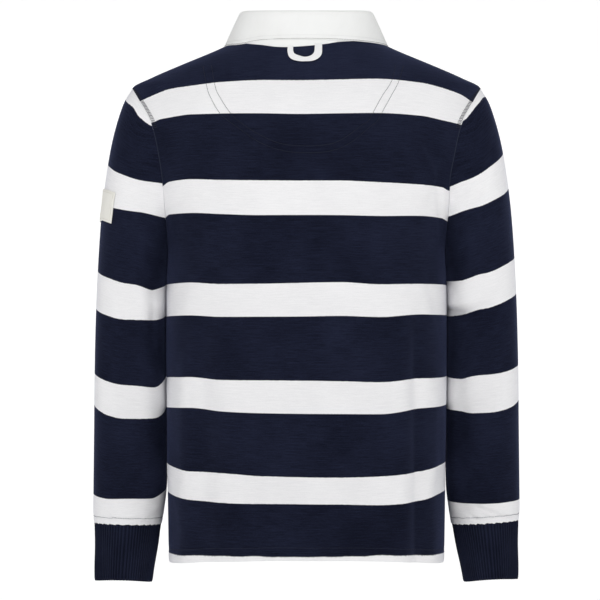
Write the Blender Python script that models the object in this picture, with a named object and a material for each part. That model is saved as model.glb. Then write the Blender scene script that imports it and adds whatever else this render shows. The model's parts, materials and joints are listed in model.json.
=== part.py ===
"""Long-sleeved rugby shirt in its worn form, with no wearer inside.

The origin is at the middle of the neck opening, level with the shoulders. +Z is up, the
back faces -Y, and the wearer's left side is at -X. Sizes are in millimetres until a mesh
is made. Every piece of cloth is a closed wall: an outer face and an inner face.
"""

import math
from collections import namedtuple

import bpy
import numpy as np

MM = 0.001

# Cloth and seams
JERSEY = 1.8  # wall of the body and sleeves
COLLAR_CLOTH = 2.0  # doubled twill of the stand and the fall
RIB_KNIT = 2.2  # wall of a cuff, under its ribs
LABEL_CLOTH = 1.0
PLACKET_CLOTH = 1.6
SEAM_GAP = 0.3  # between two pieces that are sewn together

# Body: rings from the hem to the neck
HEM_SIDE_Z = -698.5
HEM_RISE = 12.0  # the hem is this much higher at the middle than at the side seams
ARMPIT_Z = -280.0
SHOULDER_TIP_Z = -57.0
NECK_SIDE_Z = 3.2
BACK_NECK_Z = -8.0
FRONT_NECK_Z = -78.0
NECK_HALF_WIDTH = 102.0
FRONT_NECK_ROUNDNESS = 1.6

Ring = namedtuple("Ring", "z half_width back_depth front_depth power")
TORSO = [
    Ring(-699, 187.0, 122, 113, 2.6),
    Ring(-600, 188.5, 122, 114, 2.6),
    Ring(-480, 190.0, 124, 116, 2.6),
    Ring(-380, 190.5, 127, 118, 2.6),
    Ring(-320, 190.0, 129, 118, 2.6),
    Ring(-280, 188.0, 129.5, 117.5, 2.58),
    Ring(-262, 191.5, 129.5, 116.5, 2.50),
    Ring(-240, 198.5, 129, 115, 2.30),
    Ring(-210, 209.0, 128, 111.5, 2.08),
    Ring(-184, 217.5, 126, 107.5, 1.97),
    Ring(-140, 229.0, 121, 100.5, 1.88),
    Ring(-100, 237.5, 114, 92, 1.86),
    Ring(-78, 239.5, 109, 84, 1.88),
    Ring(-57, 236.6, 103, 72, 1.9),
    Ring(-44, 212.5, 99, 58, 1.93),
    Ring(-26, 171.0, 93, 36, 1.96),
    Ring(-8, 127.0, 87, 16, 2.0),
    Ring(3.2, 102.0, 83, 6, 2.0),
]

# The armhole seam: how far it lies from the middle of the shirt at each height
Seam = namedtuple("Seam", "z x")
ARMHOLE = [
    Seam(-280, 188.0),
    Seam(-262, 187.8),
    Seam(-236, 189.0),
    Seam(-184, 193.0),
    Seam(-156, 197.0),
    Seam(-110, 207.2),
    Seam(-77, 224.3),
    Seam(-57, 236.6),
]

# Soft upright folds of the body: a trough has a negative depth
Fold = namedtuple("Fold", "side x top_z bottom_z lean width depth")
BODY_FOLDS = [
    Fold("back", -136, -300, -760, 6, 20, -4.5),
    Fold("back", -166, -380, -760, 0, 14, 2.0),
    Fold("back", 134, -330, -760, 5, 15, 3.5),
    Fold("back", 108, -360, -760, 4, 18, -3.5),
    Fold("back", 163, -420, -760, -3, 15, -3.0),
    Fold("back", -40, -440, -760, 12, 34, -2.0),
    Fold("front", -128, -320, -760, 4, 20, -4.5),
    Fold("front", 126, -350, -760, -5, 19, -4.0),
    Fold("front", 156, -400, -760, 0, 15, 2.5),
    Fold("front", 46, -430, -760, -10, 32, -2.5),
]
FOLD_FADE = 90.0  # a fold grows from nothing over this height

# Sleeves: sections from the armhole to the cuff, given on the +X side
Section = namedtuple("Section", "inner_x inner_z outer_x outer_z middle_y half_depth power")
SLEEVE = [
    Section(188.0, -280, 236.6, -57, 0, 58, 2.0),
    Section(190.0, -288, 248.0, -76, 2, 63, 2.1),
    Section(191.2, -298, 256.5, -100, 5, 67, 2.2),
    Section(191.5, -311, 265.0, -133, 8, 70, 2.3),
    Section(191.6, -330, 272.0, -174, 11, 71, 2.3),
    Section(191.6, -358, 278.5, -225, 14, 70, 2.4),
    Section(191.6, -396, 283.3, -292, 17, 67, 2.4),
    Section(191.6, -442, 286.8, -366, 19, 63, 2.4),
    Section(191.6, -493, 288.8, -441, 20, 58, 2.4),
    Section(191.8, -545, 289.8, -515, 20, 52, 2.3),
    Section(192.8, -594, 290.7, -582, 19, 46, 2.3),
    Section(195.0, -629, 291.2, -627, 18, 42, 2.2),
    Section(197.4, -648, 290.4, -646, 17.5, 39, 2.2),
]
ARMHOLE_BLEND = 0.34  # share of the sleeve over which the armhole's shape fades
# Folds across a sleeve: place is the share of its length, angle 0 is under the arm,
# 90 the back and 180 the outer side
Crease = namedtuple("Crease", "place angle slant length_deg width depth")
SLEEVE_CREASES = [
    Crease(0.30, 62, 0.0016, 46, 0.030, -4.0),
    Crease(0.40, 48, 0.0012, 40, 0.028, -3.5),
    Crease(0.55, 60, -0.0010, 52, 0.026, -3.0),
    Crease(0.66, 300, 0.0012, 50, 0.026, -3.5),
    Crease(0.76, 70, 0.0008, 44, 0.024, -2.5),
    Crease(0.48, 305, -0.0010, 46, 0.030, -3.5),
]

# Cuffs
CUFF_TOP_INSET = 0.8  # the cuff's top lies this far inside the sleeve's end
CUFF_HEIGHT = 77.5
CUFF_BOTTOM_INNER_X = 211.0
CUFF_BOTTOM_OUTER_X = 289.2
CUFF_BOTTOM_HALF_DEPTH = 31.0
CUFF_RIBS = 60
RIB_RELIEF = 0.45

# Each side of the shirt: the wearer's left is at -X
Side = namedtuple("Side", "name sign cuff_lift")
SIDES = [Side("left", -1, 0.0), Side("right", 1, 3.5)]

# Collar
STAND_BACK_HEIGHT = 42.5
STAND_SIDE_HEIGHT = 38.5
STAND_FRONT_HEIGHT = 31.0
STAND_BACK_INSET = 9.0
STAND_SIDE_INSET = 20.5
STAND_FRONT_INSET = 14.0
COLLAR_END_ANGLE = 179.2  # 0 is the middle of the back, 180 the middle of the front
FALL_BACK_Y = -97.0
FALL_BACK_Z = -0.5
FALL_SIDE_X = 109.5
FALL_POINT_X = 50.0  # the collar point
FALL_POINT_Z = -106.0
FALL_BOW = 2.0
FALL_OVER_BODY = 3.6  # the fall's outer face above the body where it rests
# The roll of the fall over the stand: distance out and up from the stand's top edge
Roll = namedtuple("Roll", "out up")
FALL_ROLL = [Roll(-2.3, 0.9), Roll(-2.1, 2.9), Roll(0.5, 4.3), Roll(3.6, 3.5), Roll(5.4, 0.7)]

# Hanger loop, a folded tape on the back neckline
LOOP_MIDDLE_X = -2.2
LOOP_HALF_WIDTH = 19.2
LOOP_TOP_Z = -9.4
LOOP_BOTTOM_Z = -25.4
LOOP_TAPE_WIDTH = 7.4
LOOP_TAPE_THICKNESS = 2.6
LOOP_CLEARANCE = 0.5  # from the back at the seam
LOOP_LIFT = 2.6  # further out at its lowest point

# Label on the wearer's left sleeve
LABEL_TOP_Z = -191.0
LABEL_HEIGHT = 46.0
LABEL_FRONT_ANGLE = 190.0
LABEL_BACK_ANGLE = 124.0
LABEL_SLANT = 0.35

# Placket and buttons
PLACKET_HALF_WIDTH = 16.0
PLACKET_TOP_Z = -80.5
PLACKET_BOTTOM_Z = -243.0
BUTTON_RADIUS = 5.6
BUTTON_THICKNESS = 2.8
BUTTONS = {"button_1": -94.0, "button_2": -158.0, "button_3": -222.0}

# Mesh density
BODY_ROWS = 11
ARMHOLE_ROWS = 13
SHOULDER_ROWS = 6
PANEL_COLUMNS = 22
SLEEVE_RINGS = 19
CUFF_ROWS = 2
COLLAR_COLUMNS = 40

# Colours of the cloth, roughness
NAVY = ((0.0116, 0.0133, 0.0262, 1.0), 0.9)
RIB_NAVY = ((0.0100, 0.0118, 0.0232, 1.0), 0.95)
WHITE = ((0.84, 0.85, 0.86, 1.0), 0.85)
CREAM = ((0.78, 0.76, 0.70, 1.0), 0.8)
BUTTON_WHITE = ((0.80, 0.80, 0.78, 1.0), 0.45)


def along(table, column, at):
    """The named column of a table at a value of its first column, on a monotone cubic."""
    xs = [row[0] for row in table]
    ys = [getattr(row, column) for row in table]
    at = min(max(at, xs[0]), xs[-1])
    k = min(max(int(np.searchsorted(xs, at)) - 1, 0), len(xs) - 2)
    slopes = [(ys[i + 1] - ys[i]) / (xs[i + 1] - xs[i]) for i in range(len(xs) - 1)]

    def tangent(i):
        if i == 0 or i == len(xs) - 1:
            return slopes[min(i, len(slopes) - 1)]
        before, after = slopes[i - 1], slopes[i]
        if before * after <= 0:
            return 0.0
        return 2 * before * after / (before + after)

    span = xs[k + 1] - xs[k]
    t = (at - xs[k]) / span
    rise = ys[k + 1] - ys[k]
    start, end = tangent(k) * span, tangent(k + 1) * span
    return ys[k] + t * (start + t * ((3 * rise - 2 * start - end) + t * (start + end - 2 * rise)))


def blend(a, b, t):
    return a + (b - a) * t


def smooth_step(t):
    t = min(max(t, 0.0), 1.0)
    return t * t * (3 - 2 * t)


def signed_power(value, power):
    return math.copysign(abs(value) ** power, value)


def unit(vector):
    return vector / np.linalg.norm(vector)


# ---------------------------------------------------------------- body


def depth_column(side):
    return "back_depth" if side == "back" else "front_depth"


def body_fold(side, x, z):
    """How far the cloth is pushed out by the body's folds at a place."""
    total = 0.0
    for fold in BODY_FOLDS:
        if fold.side != side:
            continue
        down = (fold.top_z - z) / (fold.top_z - fold.bottom_z)
        if down <= 0:
            continue
        centre = fold.x + fold.lean * down
        grown = smooth_step((fold.top_z - z) / FOLD_FADE)
        total += fold.depth * grown * math.exp(-(((x - centre) / fold.width) ** 2))
    return total


def body_point(side, angle, z):
    """A point of the body's outer face. The angle is 0 at the middle and 90 degrees at the side."""
    width = along(TORSO, "half_width", z)
    depth = along(TORSO, depth_column(side), z)
    power = along(TORSO, "power", z)
    facing = -1 if side == "back" else 1
    x = width * signed_power(math.sin(angle), 2 / power)
    y = facing * depth * math.cos(angle)
    out = np.array([signed_power(x / width, power - 1) * power / width, 2 * y / depth**2, 0.0])
    push = body_fold(side, x, z)
    return np.array([x, y + facing * SEAM_GAP / 2, z]) + push * unit(out)


def body_normal(side, angle, z):
    """The outward direction of the body's outer face."""
    d_angle, d_z = 0.01, 0.5
    across = body_point(side, angle + d_angle, z) - body_point(side, angle - d_angle, z)
    low = max(z - d_z, TORSO[0].z)
    high = min(z + d_z, TORSO[-1].z)
    up = body_point(side, angle, high) - body_point(side, angle, low)
    normal = unit(np.cross(across, up))
    facing = -1 if side == "back" else 1
    x, y, _ = body_point(side, angle, z)
    if normal[0] * x + normal[1] * (y + facing * 40) < 0:
        normal = -normal
    return normal


def angle_at(x, z):
    """The body angle of a place that lies this far from the middle at this height."""
    width = along(TORSO, "half_width", z)
    power = along(TORSO, "power", z)
    return math.asin(signed_power(min(max(x / width, -1.0), 1.0), power / 2))


def neckline(side, across):
    """Angle and height of the neckline; across is 0 at the middle and 1 at the shoulder seam."""
    if side == "back":
        return across * math.pi / 2, blend(BACK_NECK_Z, NECK_SIDE_Z, math.sin(across * math.pi / 2) ** 2)
    turn = abs(across) * math.pi / 2
    x = NECK_HALF_WIDTH * math.sin(turn)
    z = NECK_SIDE_Z + (FRONT_NECK_Z - NECK_SIDE_Z) * max(math.cos(turn), 0.0) ** FRONT_NECK_ROUNDNESS
    return math.copysign(angle_at(x, z), across), z


def edge_rows():
    """Heights of a panel's rows along its side: side seam, armhole, shoulder seam."""
    body = [blend(HEM_SIDE_Z, ARMPIT_Z, i / BODY_ROWS) for i in range(BODY_ROWS)]
    middle, half = (ARMPIT_Z + SHOULDER_TIP_Z) / 2, (SHOULDER_TIP_Z - ARMPIT_Z) / 2
    armhole = [middle - half * math.cos(math.pi * i / ARMHOLE_ROWS) for i in range(ARMHOLE_ROWS + 1)]
    shoulder = [blend(SHOULDER_TIP_Z, NECK_SIDE_Z, i / SHOULDER_ROWS) for i in range(1, SHOULDER_ROWS + 1)]
    return body + armhole + shoulder


def panel_place(side, across, edge_z):
    """Angle and height of a panel's point, from its share across and its row's height at the side."""
    neck_angle, neck_z = neckline(side, across)
    if edge_z <= ARMPIT_Z:
        hem = HEM_SIDE_Z + HEM_RISE * math.cos(across * math.pi / 2) ** 2
        up = (edge_z - HEM_SIDE_Z) / (ARMPIT_Z - HEM_SIDE_Z)
        return across * math.pi / 2, blend(hem, ARMPIT_Z, up)
    edge_angle = math.pi / 2
    if edge_z < SHOULDER_TIP_Z:
        edge_angle = angle_at(along(ARMHOLE, "x", edge_z), edge_z)
    up = (edge_z - ARMPIT_Z) / (NECK_SIDE_Z - ARMPIT_Z)
    share = up**1.5
    angle = blend(across * edge_angle, neck_angle * edge_angle / (math.pi / 2), share)
    return angle, ARMPIT_Z + (neck_z - ARMPIT_Z) * up


def wall_pair(side, angle, z, thickness=JERSEY):
    outer = body_point(side, angle, z)
    return outer, outer - thickness * body_normal(side, angle, z)


def panel(side):
    outer, inner = [], []
    for edge_z in edge_rows():
        pairs = []
        for column in range(PANEL_COLUMNS + 1):
            across = 2 * column / PANEL_COLUMNS - 1
            pairs.append(wall_pair(side, *panel_place(side, across, edge_z)))
        outer.append([pair[0] for pair in pairs])
        inner.append([pair[1] for pair in pairs])
    return outer, inner


# ---------------------------------------------------------------- sleeves


def armhole_pairs(side):
    """Outer and inner points of the armhole's edge, from under the arm over the back and round."""
    heights = [z for z in edge_rows() if ARMPIT_Z <= z <= SHOULDER_TIP_Z + 1e-6]
    places = [("back", z) for z in heights] + [("front", z) for z in heights[-2:0:-1]]
    pairs = []
    for panel_side, z in places:
        outer, inner = wall_pair(panel_side, *panel_place(panel_side, side.sign, z))
        if z in (heights[0], heights[-1]):
            other_outer, other_inner = wall_pair("front", *panel_place("front", side.sign, z))
            outer, inner = (outer + other_outer) / 2, (inner + other_inner) / 2
        pairs.append((outer, inner))
    return pairs


def armhole_ring(side, thickness=JERSEY):
    """The sleeve's first ring, set off from the armhole's edge by the seam's gap.

    At the top the sleeve carries on from the body, edge to edge. Under the arm it folds back
    down along the body, so there it starts on the body's face and takes its own direction.
    """
    pairs = armhole_pairs(side)
    middle = sum(outer for outer, _ in pairs) / len(pairs)
    outer, inner = [], []
    for i, (out, inn) in enumerate(pairs):
        top = (1 - math.cos(2 * math.pi * i / len(pairs))) / 2
        body_out = unit(out - inn)
        away = unit(np.cross(pairs[(i + 1) % len(pairs)][0] - pairs[i - 1][0], body_out))
        if np.dot(away, middle - out) < 0:
            away = -away
        edge = out + 1.4 * SEAM_GAP * unit(top * away + (1 - top) * body_out)
        under_arm = unit(np.array([-side.sign * 1.0, 0.5 * body_out[1], -0.25]))
        sleeve_out = unit(blend(under_arm, body_out, smooth_step(1.6 * top)))
        outer.append(edge)
        inner.append(edge - thickness * sleeve_out)
    return outer, inner


def section_at(side, place):
    """The sleeve's section at a share of its length, between the table's rows."""
    rows = [(i / (len(SLEEVE) - 1), *row) for i, row in enumerate(SLEEVE)]
    table = [namedtuple("Row", ("place",) + Section._fields)(*row) for row in rows]
    values = {name: along(table, name, place) for name in Section._fields}
    values["outer_z"] += side.cuff_lift * smooth_step((place - 0.8) / 0.2)
    return Section(**values)


def section_point(side, section, turn):
    middle_x = (section.inner_x + section.outer_x) / 2
    middle_z = (section.inner_z + section.outer_z) / 2
    out = -signed_power(math.cos(turn), 2 / section.power)
    back = -signed_power(math.sin(turn), 2 / section.power)
    x = middle_x + out * (section.outer_x - section.inner_x) / 2
    z = middle_z + out * (section.outer_z - section.inner_z) / 2
    return np.array([side.sign * x, section.middle_y + back * section.half_depth, z])


def sleeve_crease(place, turn):
    total = 0.0
    for crease in SLEEVE_CREASES:
        off = (math.degrees(turn) - crease.angle + 180) % 360 - 180
        centre = crease.place + crease.slant * off
        fade = math.exp(-((off / crease.length_deg) ** 2) * 2)
        total += crease.depth * fade * math.exp(-(((place - centre) / crease.width) ** 2))
    return total


def sleeve_points(side, place, turns):
    """Outer points of one sleeve ring."""
    section = section_at(side, place)
    ring = [section_point(side, section, turn) for turn in turns]
    if place < ARMHOLE_BLEND:
        start = section_at(side, 0)
        edge = armhole_ring(side)[0]
        weight = (1 - place / ARMHOLE_BLEND) ** 2
        ring = [p + weight * (e - section_point(side, start, t)) for p, e, t in zip(ring, edge, turns)]
    centre = sum(ring) / len(ring)
    return [p + sleeve_crease(place, t) * unit(p - centre) for p, t in zip(ring, turns)]


def sleeve_turns():
    count = 2 * ARMHOLE_ROWS
    return [2 * math.pi * i / count for i in range(count)]


def offset_inward(rings, thickness, closed):
    """Each point of a grid moved in along the grid's own normal. A closed grid is a tube."""
    grid = np.array(rings)
    if closed:
        across = np.roll(grid, -1, axis=1) - np.roll(grid, 1, axis=1)
    else:
        across = np.gradient(grid, axis=1)
    normal = np.cross(across, np.gradient(grid, axis=0))
    normal /= np.linalg.norm(normal, axis=2, keepdims=True)
    centre = grid.mean(axis=1, keepdims=True)
    if (normal * (grid - centre)).sum() < 0:
        normal = -normal
    return grid - thickness * normal


def sleeve(side):
    turns = sleeve_turns()
    places = [i / (SLEEVE_RINGS - 1) for i in range(SLEEVE_RINGS)]
    outer = [sleeve_points(side, place, turns) for place in places]
    inner = offset_inward(outer, JERSEY, closed=True)
    outer[0], inner[0] = armhole_ring(side)
    # The last ring ends on one plane, so that the cuff meets it evenly.
    section = section_at(side, 1)
    tilt = (section.outer_z - section.inner_z) / (section.outer_x - section.inner_x)
    for point in inner[-1]:
        point[2] = section.inner_z + tilt * (abs(point[0]) - section.inner_x)
    return outer, inner


def cuff(side):
    end = section_at(side, 1)
    top = end._replace(
        inner_x=end.inner_x + CUFF_TOP_INSET,
        outer_x=end.outer_x - CUFF_TOP_INSET,
        inner_z=end.inner_z - SEAM_GAP,
        outer_z=end.outer_z - SEAM_GAP,
        half_depth=end.half_depth - CUFF_TOP_INSET,
    )
    bottom = top._replace(
        inner_x=CUFF_BOTTOM_INNER_X,
        outer_x=CUFF_BOTTOM_OUTER_X,
        inner_z=top.inner_z - CUFF_HEIGHT,
        outer_z=top.outer_z - CUFF_HEIGHT - 0.4 * side.cuff_lift,
        half_depth=CUFF_BOTTOM_HALF_DEPTH,
    )
    outer, inner = [], []
    count = 2 * CUFF_RIBS
    for row in range(CUFF_ROWS + 1):
        t = row / CUFF_ROWS
        section = Section(*[blend(a, b, t) for a, b in zip(top, bottom)])
        middle = section_point(side, section, 0) / 2 + section_point(side, section, math.pi) / 2
        outer_row, inner_row = [], []
        for i in range(count):
            point = section_point(side, section, 2 * math.pi * i / count)
            out = unit((point - middle) / [1.0, section.half_depth / 45, 1.0])
            relief = RIB_RELIEF if i % 2 == 0 else -RIB_RELIEF
            outer_row.append(point + (relief - RIB_RELIEF) * out)
            inner_row.append(point - (RIB_KNIT + RIB_RELIEF) * out)
        outer.append(outer_row)
        inner.append(inner_row)
    return outer, inner


def sleeve_label():
    """A square of cloth on the upper left sleeve, made from the sleeve's points moved out."""
    side = SIDES[0]
    turns = sleeve_turns()
    places = np.linspace(0, 1, 241)

    columns, rows = 6, 4
    table = {}
    for place in places:
        if 0.15 < place < 0.75:
            table[place] = np.array(sleeve_points(side, place, turns))
    angles = np.degrees(turns)

    def on_sleeve(angle, z):
        """The point of the faceted sleeve at an angle, at the place where it has this height."""
        best = None
        for place, ring in table.items():
            point = np.array([np.interp(angle, angles, ring[:, i]) for i in range(3)])
            if best is None or abs(point[2] - z) < abs(best[0][2] - z):
                best = (point, place)
        return best[0]

    middle = on_sleeve(180, LABEL_TOP_Z)
    grid = []
    for row in range(rows + 1):
        line = []
        for column in range(columns + 1):
            angle = blend(LABEL_FRONT_ANGLE, LABEL_BACK_ANGLE, column / columns)
            level = LABEL_TOP_Z - LABEL_HEIGHT * row / rows
            first = on_sleeve(angle, level)
            line.append(on_sleeve(angle, level - LABEL_SLANT * abs(first[0] - middle[0])))
        grid.append(line)
    grid = np.array(grid)
    normal = np.cross(np.gradient(grid, axis=1), np.gradient(grid, axis=0))
    normal /= np.linalg.norm(normal, axis=2, keepdims=True)
    if normal[..., 0].sum() > 0:
        normal = -normal
    lift = 0.9
    return grid + (lift + LABEL_CLOTH) * normal, grid + lift * normal


# ---------------------------------------------------------------- collar


def neck_edge(angle_deg):
    """The neckline's outer edge; 0 is the middle of the back, 180 the middle of the front."""
    sign = math.copysign(1, angle_deg)
    angle = abs(angle_deg)
    if angle <= 90:
        return body_point("back", *neckline("back", sign * angle / 90))
    return body_point("front", *neckline("front", sign * (180 - angle) / 90))


def around_neck(angle_deg, back, side, front):
    """A value that goes smoothly from the back to the side and on to the front."""
    angle = abs(angle_deg)
    if angle <= 90:
        return blend(back, side, smooth_step(angle / 90))
    return blend(side, front, smooth_step((angle - 90) / 90))


def outward(point):
    return unit(np.array([point[0], point[1], 0.0]))


def stand_top(angle_deg):
    edge = neck_edge(angle_deg)
    height = around_neck(angle_deg, STAND_BACK_HEIGHT, STAND_SIDE_HEIGHT, STAND_FRONT_HEIGHT)
    inset = around_neck(angle_deg, STAND_BACK_INSET, STAND_SIDE_INSET, STAND_FRONT_INSET)
    return edge - inset * outward(edge) + np.array([0, 0, height])


def collar_angles():
    end = COLLAR_END_ANGLE
    return [blend(-end, end, i / COLLAR_COLUMNS) for i in range(COLLAR_COLUMNS + 1)]


def collar_stand():
    outer, inner = [], []
    for t in (0.0, 0.35, 0.7, 1.0):
        outer_row, inner_row = [], []
        for angle in collar_angles():
            edge = neck_edge(angle) + np.array([0, 0, 2 * SEAM_GAP]) - SEAM_GAP * outward(neck_edge(angle))
            point = blend(edge, stand_top(angle), t)
            outer_row.append(point)
            inner_row.append(point - COLLAR_CLOTH * outward(point))
        outer.append(outer_row)
        inner.append(inner_row)
    return outer, inner


def fall_edge(angle_deg):
    """The lower edge of the collar's fall, down to the collar points in front."""
    sign = math.copysign(1, angle_deg)
    angle = abs(angle_deg)
    front = max(angle - 90, 0) / 90
    x = FALL_SIDE_X - (FALL_SIDE_X - FALL_POINT_X) * front**1.8
    z = -0.6 + (FALL_POINT_Z + 0.6) * front**1.1
    turn = angle_at(x, z)
    resting = body_point("front", sign * turn, z)
    resting = resting + FALL_OVER_BODY * body_normal("front", sign * turn, z)
    if angle >= 90:
        return resting
    quarter = math.radians(angle)
    side = fall_edge(sign * 90)
    z = blend(FALL_BACK_Z, side[2], math.sin(quarter) ** 2)
    return np.array([side[0] * math.sin(quarter), FALL_BACK_Y * math.cos(quarter) + side[1], z])


def collar_fall():
    leaf_shares = (0.12, 0.3, 0.52, 0.76, 1.0)
    angles = collar_angles()
    rows = []
    for roll in FALL_ROLL:
        tops = [stand_top(a) for a in angles]
        rows.append([p + roll.out * outward(p) + np.array([0, 0, roll.up]) for p in tops])
    turned = rows[-1]
    for share in leaf_shares:
        row = []
        for start, angle in zip(turned, angles):
            end = fall_edge(angle)
            bow = FALL_BOW * math.sin(math.pi * share)
            row.append(blend(start, end, share) + bow * outward(end))
        rows.append(row)
    grid = np.array(rows)
    normal = np.cross(np.gradient(grid, axis=1), np.gradient(grid, axis=0))
    normal /= np.linalg.norm(normal, axis=2, keepdims=True)
    leaf = normal[-2, COLLAR_COLUMNS // 2]
    if leaf[1] > 0:
        normal = -normal
    return grid, grid - COLLAR_CLOTH * normal


# ---------------------------------------------------------------- small pieces


def hanger_loop():
    """A U of flattened tube: rows run along the tape, columns go round its section."""
    steps, sides = 16, 10
    route = []
    for i in range(steps + 1):
        t = i / steps
        across = -math.cos(math.pi * t)
        down = abs(math.sin(math.pi * t)) ** 0.62
        x = LOOP_MIDDLE_X + LOOP_HALF_WIDTH * signed_power(across, 0.75)
        z = blend(LOOP_TOP_Z, LOOP_BOTTOM_Z, down)
        turn = angle_at(x, z)
        normal = body_normal("back", turn, z)
        lift = LOOP_CLEARANCE + LOOP_TAPE_THICKNESS / 2 + LOOP_LIFT * down
        route.append((body_point("back", turn, z) + lift * normal, normal))
    rows = []
    for i, (point, normal) in enumerate(route):
        ahead = route[min(i + 1, steps)][0] - route[max(i - 1, 0)][0]
        if i in (0, steps):
            ahead = np.array([0.0, 0.0, -1.0 if i == 0 else 1.0])
        wide = unit(np.cross(ahead, normal))
        thick = unit(np.cross(wide, ahead))
        row = []
        for k in range(sides):
            turn = 2 * math.pi * k / sides
            out = LOOP_TAPE_WIDTH / 2 * signed_power(math.cos(turn), 0.8) * wide
            row.append(point + out + LOOP_TAPE_THICKNESS / 2 * math.sin(turn) * thick)
        rows.append(row)
    return rows


def placket():
    columns, rows = 4, 12
    outer, inner = [], []
    for row in range(rows + 1):
        z = blend(PLACKET_TOP_Z, PLACKET_BOTTOM_Z, row / rows)
        outer_row, inner_row = [], []
        for column in range(columns + 1):
            x = blend(-PLACKET_HALF_WIDTH, PLACKET_HALF_WIDTH, column / columns)
            turn = angle_at(x, z)
            point, normal = body_point("front", turn, z), body_normal("front", turn, z)
            inner_row.append(point + SEAM_GAP * normal)
            outer_row.append(point + (SEAM_GAP + PLACKET_CLOTH) * normal)
        outer.append(outer_row)
        inner.append(inner_row)
    return outer, inner


def button(z):
    """Rows of a turned disc with a rounded rim, from its back to its face."""
    normal = body_normal("front", 0.0, z)
    base = body_point("front", 0.0, z) + (PLACKET_CLOTH + 3 * SEAM_GAP) * normal
    wide = np.array([1.0, 0.0, 0.0])
    high = unit(np.cross(normal, wide))
    profile = [(0.92, 0.0), (1.0, 0.3), (1.0, 0.75), (0.86, 1.0)]
    rows = []
    for radius, height in profile:
        row = []
        for k in range(20):
            turn = 2 * math.pi * k / 20
            flat = BUTTON_RADIUS * radius * (math.cos(turn) * wide + math.sin(turn) * high)
            row.append(base + height * BUTTON_THICKNESS * normal + flat)
        rows.append(row)
    return rows


# ---------------------------------------------------------------- meshes


def material(name, look):
    colour, roughness = look
    made = bpy.data.materials.new(name)
    made.use_nodes = True
    shader = made.node_tree.nodes["Principled BSDF"]
    shader.inputs["Base Color"].default_value = colour
    shader.inputs["Roughness"].default_value = roughness
    shader.inputs["Metallic"].default_value = 0.0
    made.diffuse_color = colour
    return made


def add_object(name, points, faces, look, parent):
    points = np.array(points) * MM
    mesh = bpy.data.meshes.new(name)
    volume = 0.0
    for face in faces:
        first = points[face[0]]
        for a, b in zip(face[1:-1], face[2:]):
            volume += np.dot(first, np.cross(points[a], points[b]))
    if volume < 0:
        faces = [face[::-1] for face in faces]
    mesh.from_pydata([tuple(p) for p in points], [], faces)
    mesh.shade_smooth()
    mesh.set_sharp_from_angle(angle=math.radians(50))
    mesh.materials.append(material(name + "_cloth", look))
    made = bpy.data.objects.new(name, mesh)
    bpy.context.scene.collection.objects.link(made)
    made.parent = parent
    return made


def quad(a, b, c, d):
    """Two triangles, always split on the same diagonal, so that both faces of a wall agree."""
    return [(a, b, c), (a, c, d)]


def add_wall(name, grids, look, parent, closed=False):
    """A wall between an outer and an inner grid of points. A closed one is a tube."""
    outer, inner = (np.array(grid) for grid in grids)
    rows, columns = outer.shape[:2]
    points = list(outer.reshape(-1, 3)) + list(inner.reshape(-1, 3))
    half = rows * columns

    def at(row, column):
        return row * columns + column % columns

    faces = []
    for row in range(rows - 1):
        for column in range(columns if closed else columns - 1):
            corners = [at(row, column), at(row, column + 1), at(row + 1, column + 1), at(row + 1, column)]
            faces += quad(*corners)
            faces += [face[::-1] for face in quad(*[corner + half for corner in corners])]
    for column in range(columns if closed else columns - 1):
        a, b = at(0, column), at(0, column + 1)
        faces += quad(b, a, a + half, b + half)
        a, b = at(rows - 1, column), at(rows - 1, column + 1)
        faces += quad(a, b, b + half, a + half)
    if not closed:
        for row in range(rows - 1):
            a, b = at(row, 0), at(row + 1, 0)
            faces += quad(a, b, b + half, a + half)
            a, b = at(row, columns - 1), at(row + 1, columns - 1)
            faces += quad(b, a, a + half, b + half)
    return add_object(name, points, faces, look, parent)


def add_rod(name, rows, look, parent):
    """A solid of rings with a flat cap on each end."""
    rows = np.array(rows)
    count, sides = rows.shape[:2]
    points = list(rows.reshape(-1, 3))
    faces = []
    for row in range(count - 1):
        for k in range(sides):
            a, b = row * sides + k, row * sides + (k + 1) % sides
            faces += quad(a, b, b + sides, a + sides)
    faces.append(tuple(range(sides))[::-1])
    faces.append(tuple(range((count - 1) * sides, count * sides)))
    return add_object(name, points, faces, look, parent)


def main():
    for old in list(bpy.data.objects):
        bpy.data.objects.remove(old, do_unlink=True)
    shirt = bpy.data.objects.new("shirt", None)
    bpy.context.scene.collection.objects.link(shirt)

    add_wall("back_panel", panel("back"), NAVY, shirt)
    add_wall("front_panel", panel("front"), NAVY, shirt)
    for side in SIDES:
        add_wall("sleeve_" + side.name, sleeve(side), NAVY, shirt, closed=True)
        add_wall("cuff_" + side.name, cuff(side), RIB_NAVY, shirt, closed=True)
    add_wall("sleeve_label", sleeve_label(), CREAM, shirt)
    add_wall("collar_stand", collar_stand(), WHITE, shirt)
    add_wall("collar_fall", collar_fall(), WHITE, shirt)
    add_rod("hanger_loop", hanger_loop(), WHITE, shirt)
    add_wall("placket", placket(), WHITE, shirt)
    for name, z in BUTTONS.items():
        add_rod(name, button(z), BUTTON_WHITE, shirt)


main()
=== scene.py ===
"""The looks of the long-sleeved rugby shirt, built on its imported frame.

Every piece of cloth is a fine shell on the form of its solid, with creases, stripes and
sewing. Sizes are in millimetres until a mesh is made. The back faces -Y, and the wearer's
left side is at -X.
"""

import json
import math
from collections import namedtuple

import bpy
import numpy as np
from mathutils import Matrix, Vector

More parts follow.
